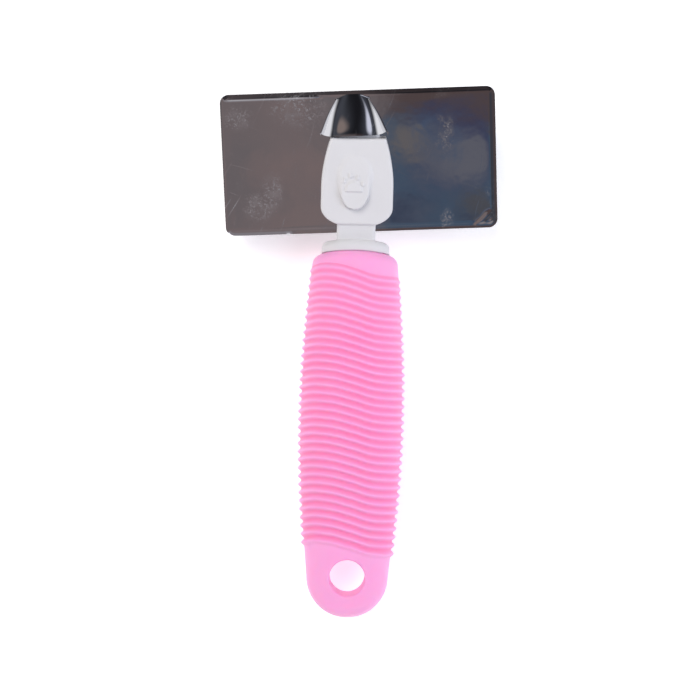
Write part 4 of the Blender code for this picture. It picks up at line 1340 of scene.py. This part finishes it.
def rib_tree():
    """Geometry Nodes: raises the ribs on a sleeve that carries its rib count and outward direction."""
    tree = tree_with(
        "wave ribs",
        [
            ("Height", "Float", 0.0013),
            ("Neck Height", "Float", 0.0007),
            ("Fade", "Float", 12.0),
            ("Last Rib", "Float", 34.0),
            ("Sharpness", "Float", 1.3),
            ("Floor", "Float", 0.0),
            ("Rubber", "Material", None),
        ],
    )
    desk = NodeDesk(tree)
    given = desk.add("NodeGroupInput").outputs
    count, ribbed, outward = (
        desk.add("GeometryNodeInputNamedAttribute", {"Name": name}, data_type=kind).outputs["Attribute"]
        for name, kind in (("rib", "FLOAT"), ("ribbed", "FLOAT"), ("outward", "FLOAT_VECTOR"))
    )
    wave = desk.math("COSINE", desk.math("MULTIPLY", count, 2 * math.pi))
    crest = desk.math("POWER", desk.math("MULTIPLY_ADD", wave, 0.5, 0.5), given["Sharpness"])
    from_last = desk.math("SUBTRACT", given["Last Rib"], count)
    grown = desk.math("DIVIDE", from_last, given["Fade"], clamp=True)
    spread = desk.math("SUBTRACT", given["Height"], given["Neck Height"])
    height = desk.math("MULTIPLY_ADD", grown, spread, given["Neck Height"])
    rise = desk.math("MULTIPLY", desk.math("MULTIPLY", crest, height), ribbed)
    lift = desk.vector_math("SCALE", outward, scale=rise)
    raised = desk.add("GeometryNodeSetPosition", {"Geometry": given["Geometry"], "Offset": lift})
    at = desk.add("ShaderNodeSeparateXYZ", {"Vector": desk.add("GeometryNodeInputPosition").outputs[0]})
    rest = desk.math("MAXIMUM", at.outputs["Z"], given["Floor"])
    put = desk.add("ShaderNodeCombineXYZ", {"X": at.outputs["X"], "Y": at.outputs["Y"], "Z": rest})
    pressed = desk.add("GeometryNodeSetPosition", {"Geometry": raised.outputs[0], "Position": put.outputs[0]})
    # The mask of the painted shade in the grooves: high between the crests, and stored for the rubber's
    # colour.
    opened = desk.math("MULTIPLY", desk.math("ADD", count, 0.1), 4.0, clamp=True)
    groove_shade = desk.math("MULTIPLY", desk.math("SUBTRACT", 1.0, crest), desk.math("MULTIPLY", ribbed, opened))
    kept = desk.add(
        "GeometryNodeStoreNamedAttribute",
        {"Geometry": pressed.outputs[0], "Name": "groove_shade", "Value": groove_shade},
        data_type="FLOAT",
        domain="POINT",
    )
    real = desk.add("GeometryNodeRealizeInstances", {"Geometry": kept.outputs[0]})
    rubber = desk.add("GeometryNodeSetMaterial", {"Geometry": real.outputs[0], "Material": given["Rubber"]})
    finish = desk.add("NodeGroupOutput")
    tree.links.new(rubber.outputs[0], finish.inputs[0])
    return tree


def sleeve_shape(grip, around, per_rib):
    """The smooth sleeve as rings that follow the wave of the ribs, with its bore for the core."""
    turns = [2 * math.pi * (i + 0.5) / around for i in range(around)]
    swing = [-rib_drop(grip, turn) for turn in turns]
    bows = [grip.bow * math.sin(turn) ** 2 for turn in turns]
    first = rib_place(grip, -0.5)
    last = rib_place(grip, grip.ribs - 0.5)
    nose = [grip.tail_radius * (1 - math.cos(math.radians(step))) for step in range(3, 88, 4)]
    start = nose[-1]
    shape = bmesh.new()
    layers = (
        shape.verts.layers.float.new("rib"),
        shape.verts.layers.float.new("ribbed"),
        shape.verts.layers.float_vector.new("outward"),
    )
    rings = []

    def ring(heights, counts, ribbed, inset=0.0):
        made = []
        for turn, y, count in zip(turns, heights, counts):
            point = grip_point(grip, y, turn, inset)
            out = point - grip_point(grip, y, turn, 0.001)
            if inset:
                out = Vector((point.x, 0.0, point.z - grip.axis_z)).normalized()
            vertex = shape.verts.new(point)
            vertex[layers[0]], vertex[layers[1]], vertex[layers[2]] = count, ribbed, out.normalized()
            made.append(vertex)
        rings.append(made)

    for y in nose:
        ring([y] * around, [NO_RIB] * around, 0.0)
    for step in range(1, 15):
        share = step / 15
        ring([start + (first + wave - start) * share for wave in swing], [NO_RIB] * around, 0.0)
    for step in range(grip.ribs * per_rib + 1):
        count = step / per_rib - 0.5
        ring([rib_place(grip, count) + wave for wave in swing], [count] * around, 1.0)
    end = grip.front - grip.shoulder
    for step in range(1, 8):
        share = step / 7
        ring(
            [last + wave + (end - bow - last - wave) * share for wave, bow in zip(swing, bows)],
            [NO_RIB] * around,
            0.0,
        )
    for step in range(1, 9):
        turn = step / 8 * math.pi / 2
        y = grip.front - grip.shoulder * (1 - math.sin(turn))
        ring([y - bow for bow in bows], [NO_RIB] * around, 0.0, inset=grip.shoulder * (1 - math.cos(turn)))
    half_x, half_z = grip.core_half_width + CLEARANCE, grip.core_half_depth + CLEARANCE
    for y, bowed in ((grip.front, 1.0), (grip.core_end - CLEARANCE, 0.0)):
        made = []
        for turn, bow in zip(turns, bows):
            px = half_x * math.copysign(abs(math.sin(turn)) ** 0.30, math.sin(turn))
            pz = half_z * math.copysign(abs(math.cos(turn)) ** 0.30, math.cos(turn))
            vertex = shape.verts.new((px, y - bowed * bow, grip.axis_z + pz))
            vertex[layers[0]], vertex[layers[1]] = NO_RIB, 0.0
            made.append(vertex)
        rings.append(made)
    for low, high in zip(rings, rings[1:]):
        for i in range(around):
            j = (i + 1) % around
            shape.faces.new((low[i], low[j], high[j], high[i]))
    tip = shape.verts.new((0.0, 0.0, grip.axis_z))
    for i in range(around):
        shape.faces.new((tip, rings[0][(i + 1) % around], rings[0][i]))
    shape.faces.new(rings[-1])
    return shape


def hole_plug(grip):
    """What the hanging hole takes away, with its rounded rims."""
    reach = grip.tail_half_depth + 0.0004
    rim = grip.rim
    steps, sides = 6, 64
    profile = []
    for step in range(steps + 1):
        turn = step / steps * math.radians(80.0)
        radius = grip.hole + rim * (1 - math.cos(turn))
        profile.append((radius, grip.tail_half_depth - rim * (1 - math.sin(turn))))
    profile.append((grip.hole + rim * 1.9, reach))
    heights = [(r, -z) for r, z in reversed(profile)] + profile
    shape = bmesh.new()
    rings = []
    for r, z in heights:
        turns = [2 * math.pi * i / sides for i in range(sides)]
        rings.append([(r * math.cos(t), grip.tail_radius + r * math.sin(t), grip.axis_z + z) for t in turns])
    skin(shape, rings)
    return shape


class BRUSH_OT_grip(Operator):
    """Mould the wave-ribbed rubber grip with its round tail and hanging hole"""

    bl_idname = "brush.grip"
    bl_label = "Rubber grip"

    def execute(self, context):
        scene = context.scene
        grip = scene.brush_grip
        pitch = (grip.rib_last - grip.rib_first) / (grip.ribs - 1)
        sleeve = new_piece("ribbed_grip", sleeve_shape(grip, 116, 9))
        values = {
            "Height": grip.rib_height,
            "Neck Height": grip.rib_height_neck,
            "Fade": grip.rib_fade / pitch,
            "Last Rib": float(grip.ribs - 1),
            "Rubber": pink_finish(scene.brush_finishes),
        }
        add_nodes(sleeve, rib_tree(), values)
        settle(sleeve)
        plug = new_piece("hanging_hole", hole_plug(grip))
        cut = sleeve.modifiers.new("hole", "BOOLEAN")
        cut.operation, cut.object, cut.solver = "DIFFERENCE", plug, "EXACT"
        settle(sleeve)
        drop(plug)
        sleeve.data.transform(tail_place())
        sleeve.data.set_sharp_from_angle(angle=math.radians(60.0))
        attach(sleeve, "brush_body")
        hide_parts("grip_sleeve")
        return {"FINISHED"}


# ---------------------------------------------------------------------------------------- stage


def studio_sky(world):
    """A dark ceiling over the brush with pale walls round it, and a plain pale field for the camera."""
    world.use_nodes = True
    tree = world.node_tree
    desk = NodeDesk(tree)
    field = tree.nodes["Background"]
    way = desk.add("ShaderNodeTexCoord").outputs["Generated"]
    parts = desk.add("ShaderNodeSeparateXYZ", {"Vector": way}).outputs

    # The part of the sky that the tray mirrors: brown on the left, blue on the right.
    drift = desk.math("MULTIPLY", desk.math("SUBTRACT", cloud(desk, way, 70.0, 2.0), 0.5), 0.010)
    across = desk.math("ADD", parts["X"], drift)
    up = desk.math("ADD", parts["Y"], desk.math("MULTIPLY", drift, -0.6))
    mottle = desk.range(cloud(desk, way, 26.0, 3.0, 0.6), 0.38, 0.66)
    brown = desk.mix(mottle, (0.160, 0.140, 0.146), (0.218, 0.163, 0.160))
    blue = desk.mix(desk.range(up, -0.306, -0.298), (0.062, 0.096, 0.148), (0.092, 0.066, 0.066))
    for middle, reach, shade in CEILING_PATCHES:
        blue = desk.mix(oval_patch(desk, across, up, middle, reach, 0.9), blue, shade)
    ceiling = desk.mix(desk.range(across, 0.004, 0.016), brown, blue)
    ceiling = desk.mix(desk.range(across, 0.070, 0.140), ceiling, (0.046, 0.048, 0.062))

    # Pale walls at both sides and behind the tail.
    aside = desk.math("ABSOLUTE", parts["X"])
    walls = desk.range(aside, 0.55, 0.80)
    tail = desk.math("MULTIPLY", parts["Y"], -1.0)
    low_end = desk.mix(desk.range(tail, 0.38, 0.46), ceiling, (0.250, 0.228, 0.245))
    low_end = desk.mix(desk.range(tail, 0.58, 0.85), low_end, PALE_WALL)

    # The dark end that the round hood mirrors.
    dark = (0.012, 0.012, 0.015)
    for middle, reach, shade in HOOD_PATCHES:
        spot = oval_patch(desk, parts["X"], parts["Y"], middle, reach, 0.9)
        dark = desk.mix(spot, dark, shade)
    head_end = desk.mix(desk.range(parts["Y"], -0.20, -0.02), low_end, dark)
    shade = desk.mix(walls, head_end, PALE_WALL)

    # The camera itself looks at a plain pale field.
    seen = desk.add("ShaderNodeLightPath").outputs["Is Camera Ray"]
    desk.feed(field.inputs["Color"], desk.mix(seen, shade, (0.93, 0.93, 0.93)))


def studio_light(name, place, width, power, tone):
    """A square soft light that looks at the middle of the brush and isn't mirrored in it."""
    lamp = bpy.data.lights.new(name, "AREA")
    lamp.shape, lamp.size, lamp.size_y = "RECTANGLE", width, width
    lamp.energy, lamp.color = power, tone
    made = bpy.data.objects.new(name, lamp)
    made.location = place
    made.rotation_euler = (-Vector(place)).to_track_quat("-Z", "Y").to_euler()
    made.visible_glossy = False
    bpy.context.scene.collection.objects.link(made)


class BRUSH_OT_stage(Operator):
    """Lay the floor and set the light, the sky and the camera"""

    bl_idname = "brush.stage"
    bl_label = "Studio stage"

    def execute(self, context):
        scene = context.scene
        stage, colours = scene.brush_stage, scene.brush_finishes
        paper, desk, shader = blank_finish("floor_paper", colours.floor, 0.9)
        shader.inputs["Specular IOR Level"].default_value = 0.1
        shader.inputs["Emission Color"].default_value = (*colours.floor, 1.0)
        shader.inputs["Emission Strength"].default_value = 0.42
        grain = cloud(desk, object_place(desk), 400.0, 3.0)
        bump(desk, shader, grain, 0.00002, 0.2)
        shape = bmesh.new()
        bmesh.ops.create_grid(shape, x_segments=2, y_segments=2, size=3.0)
        floor = new_piece("studio_floor", shape, Matrix.Translation((0.0, 0.0, -CLEARANCE)), paper)

        studio_light("key_light", (-0.38, 0.52, 1.04), 0.8, stage.key, (1.0, 0.96, 0.92))
        studio_light("fill_light", (0.75, -0.10, 0.85), 0.7, stage.fill, (0.78, 0.85, 1.0))
        world = bpy.data.worlds.new("studio_sky")
        scene.world = world
        studio_sky(world)
        scene.view_settings.view_transform = "Standard"

        lens = bpy.data.cameras.new("view")
        lens.lens, lens.sensor_width = stage.lens, 36.0
        lens.clip_start, lens.clip_end = 0.01, 20.0
        camera = bpy.data.objects.new("view", lens)
        camera.location = (stage.camera_x, stage.camera_y, stage.camera_height)
        camera.rotation_euler = (0.0, 0.0, stage.camera_roll)
        scene.collection.objects.link(camera)
        scene.camera = camera
        return {"FINISHED"}


# ---------------------------------------------------------------------------------------- add-on


class BRUSH_PT_builder(Panel):
    """Lists the pieces of the brush and their sizes"""

    bl_label = "Slicker brush"
    bl_idname = "BRUSH_PT_builder"
    bl_space_type = "VIEW_3D"
    bl_region_type = "UI"
    bl_category = "Brush"

    def draw(self, context):
        for operator in PIECES:
            self.layout.operator(operator.bl_idname)
        for label, store in STORES.items():
            box = self.layout.box()
            box.label(text=label.replace("_", " "))
            sizes = getattr(context.scene, label)
            for name in store.__annotations__:
                box.prop(sizes, name)


PIECES = (
    BRUSH_OT_tray,
    BRUSH_OT_cushion,
    BRUSH_OT_fillet,
    BRUSH_OT_pins,
    BRUSH_OT_screws,
    BRUSH_OT_moulding,
    BRUSH_OT_grip,
    BRUSH_OT_stage,
)
STORES = {
    "brush_head": TrayHeadSizes,
    "brush_moulding": MouldingSizes,
    "brush_grip": GripSizes,
    "brush_finishes": BrushFinishes,
    "brush_stage": StageSizes,
}


def register():
    for store in STORES.values():
        bpy.utils.register_class(store)
    for operator in PIECES:
        bpy.utils.register_class(operator)
    bpy.utils.register_class(BRUSH_PT_builder)
    for label, store in STORES.items():
        setattr(bpy.types.Scene, label, PointerProperty(type=store))


def unregister():
    for label in STORES:
        delattr(bpy.types.Scene, label)
    bpy.utils.unregister_class(BRUSH_PT_builder)
    for operator in reversed(PIECES):
        bpy.utils.unregister_class(operator)
    for store in reversed(list(STORES.values())):
        bpy.utils.unregister_class(store)


def main():
    register()
    for operator in PIECES:
        group, name = operator.bl_idname.split(".")
        getattr(getattr(bpy.ops, group), name)()


if __name__ == "__main__":
    main()
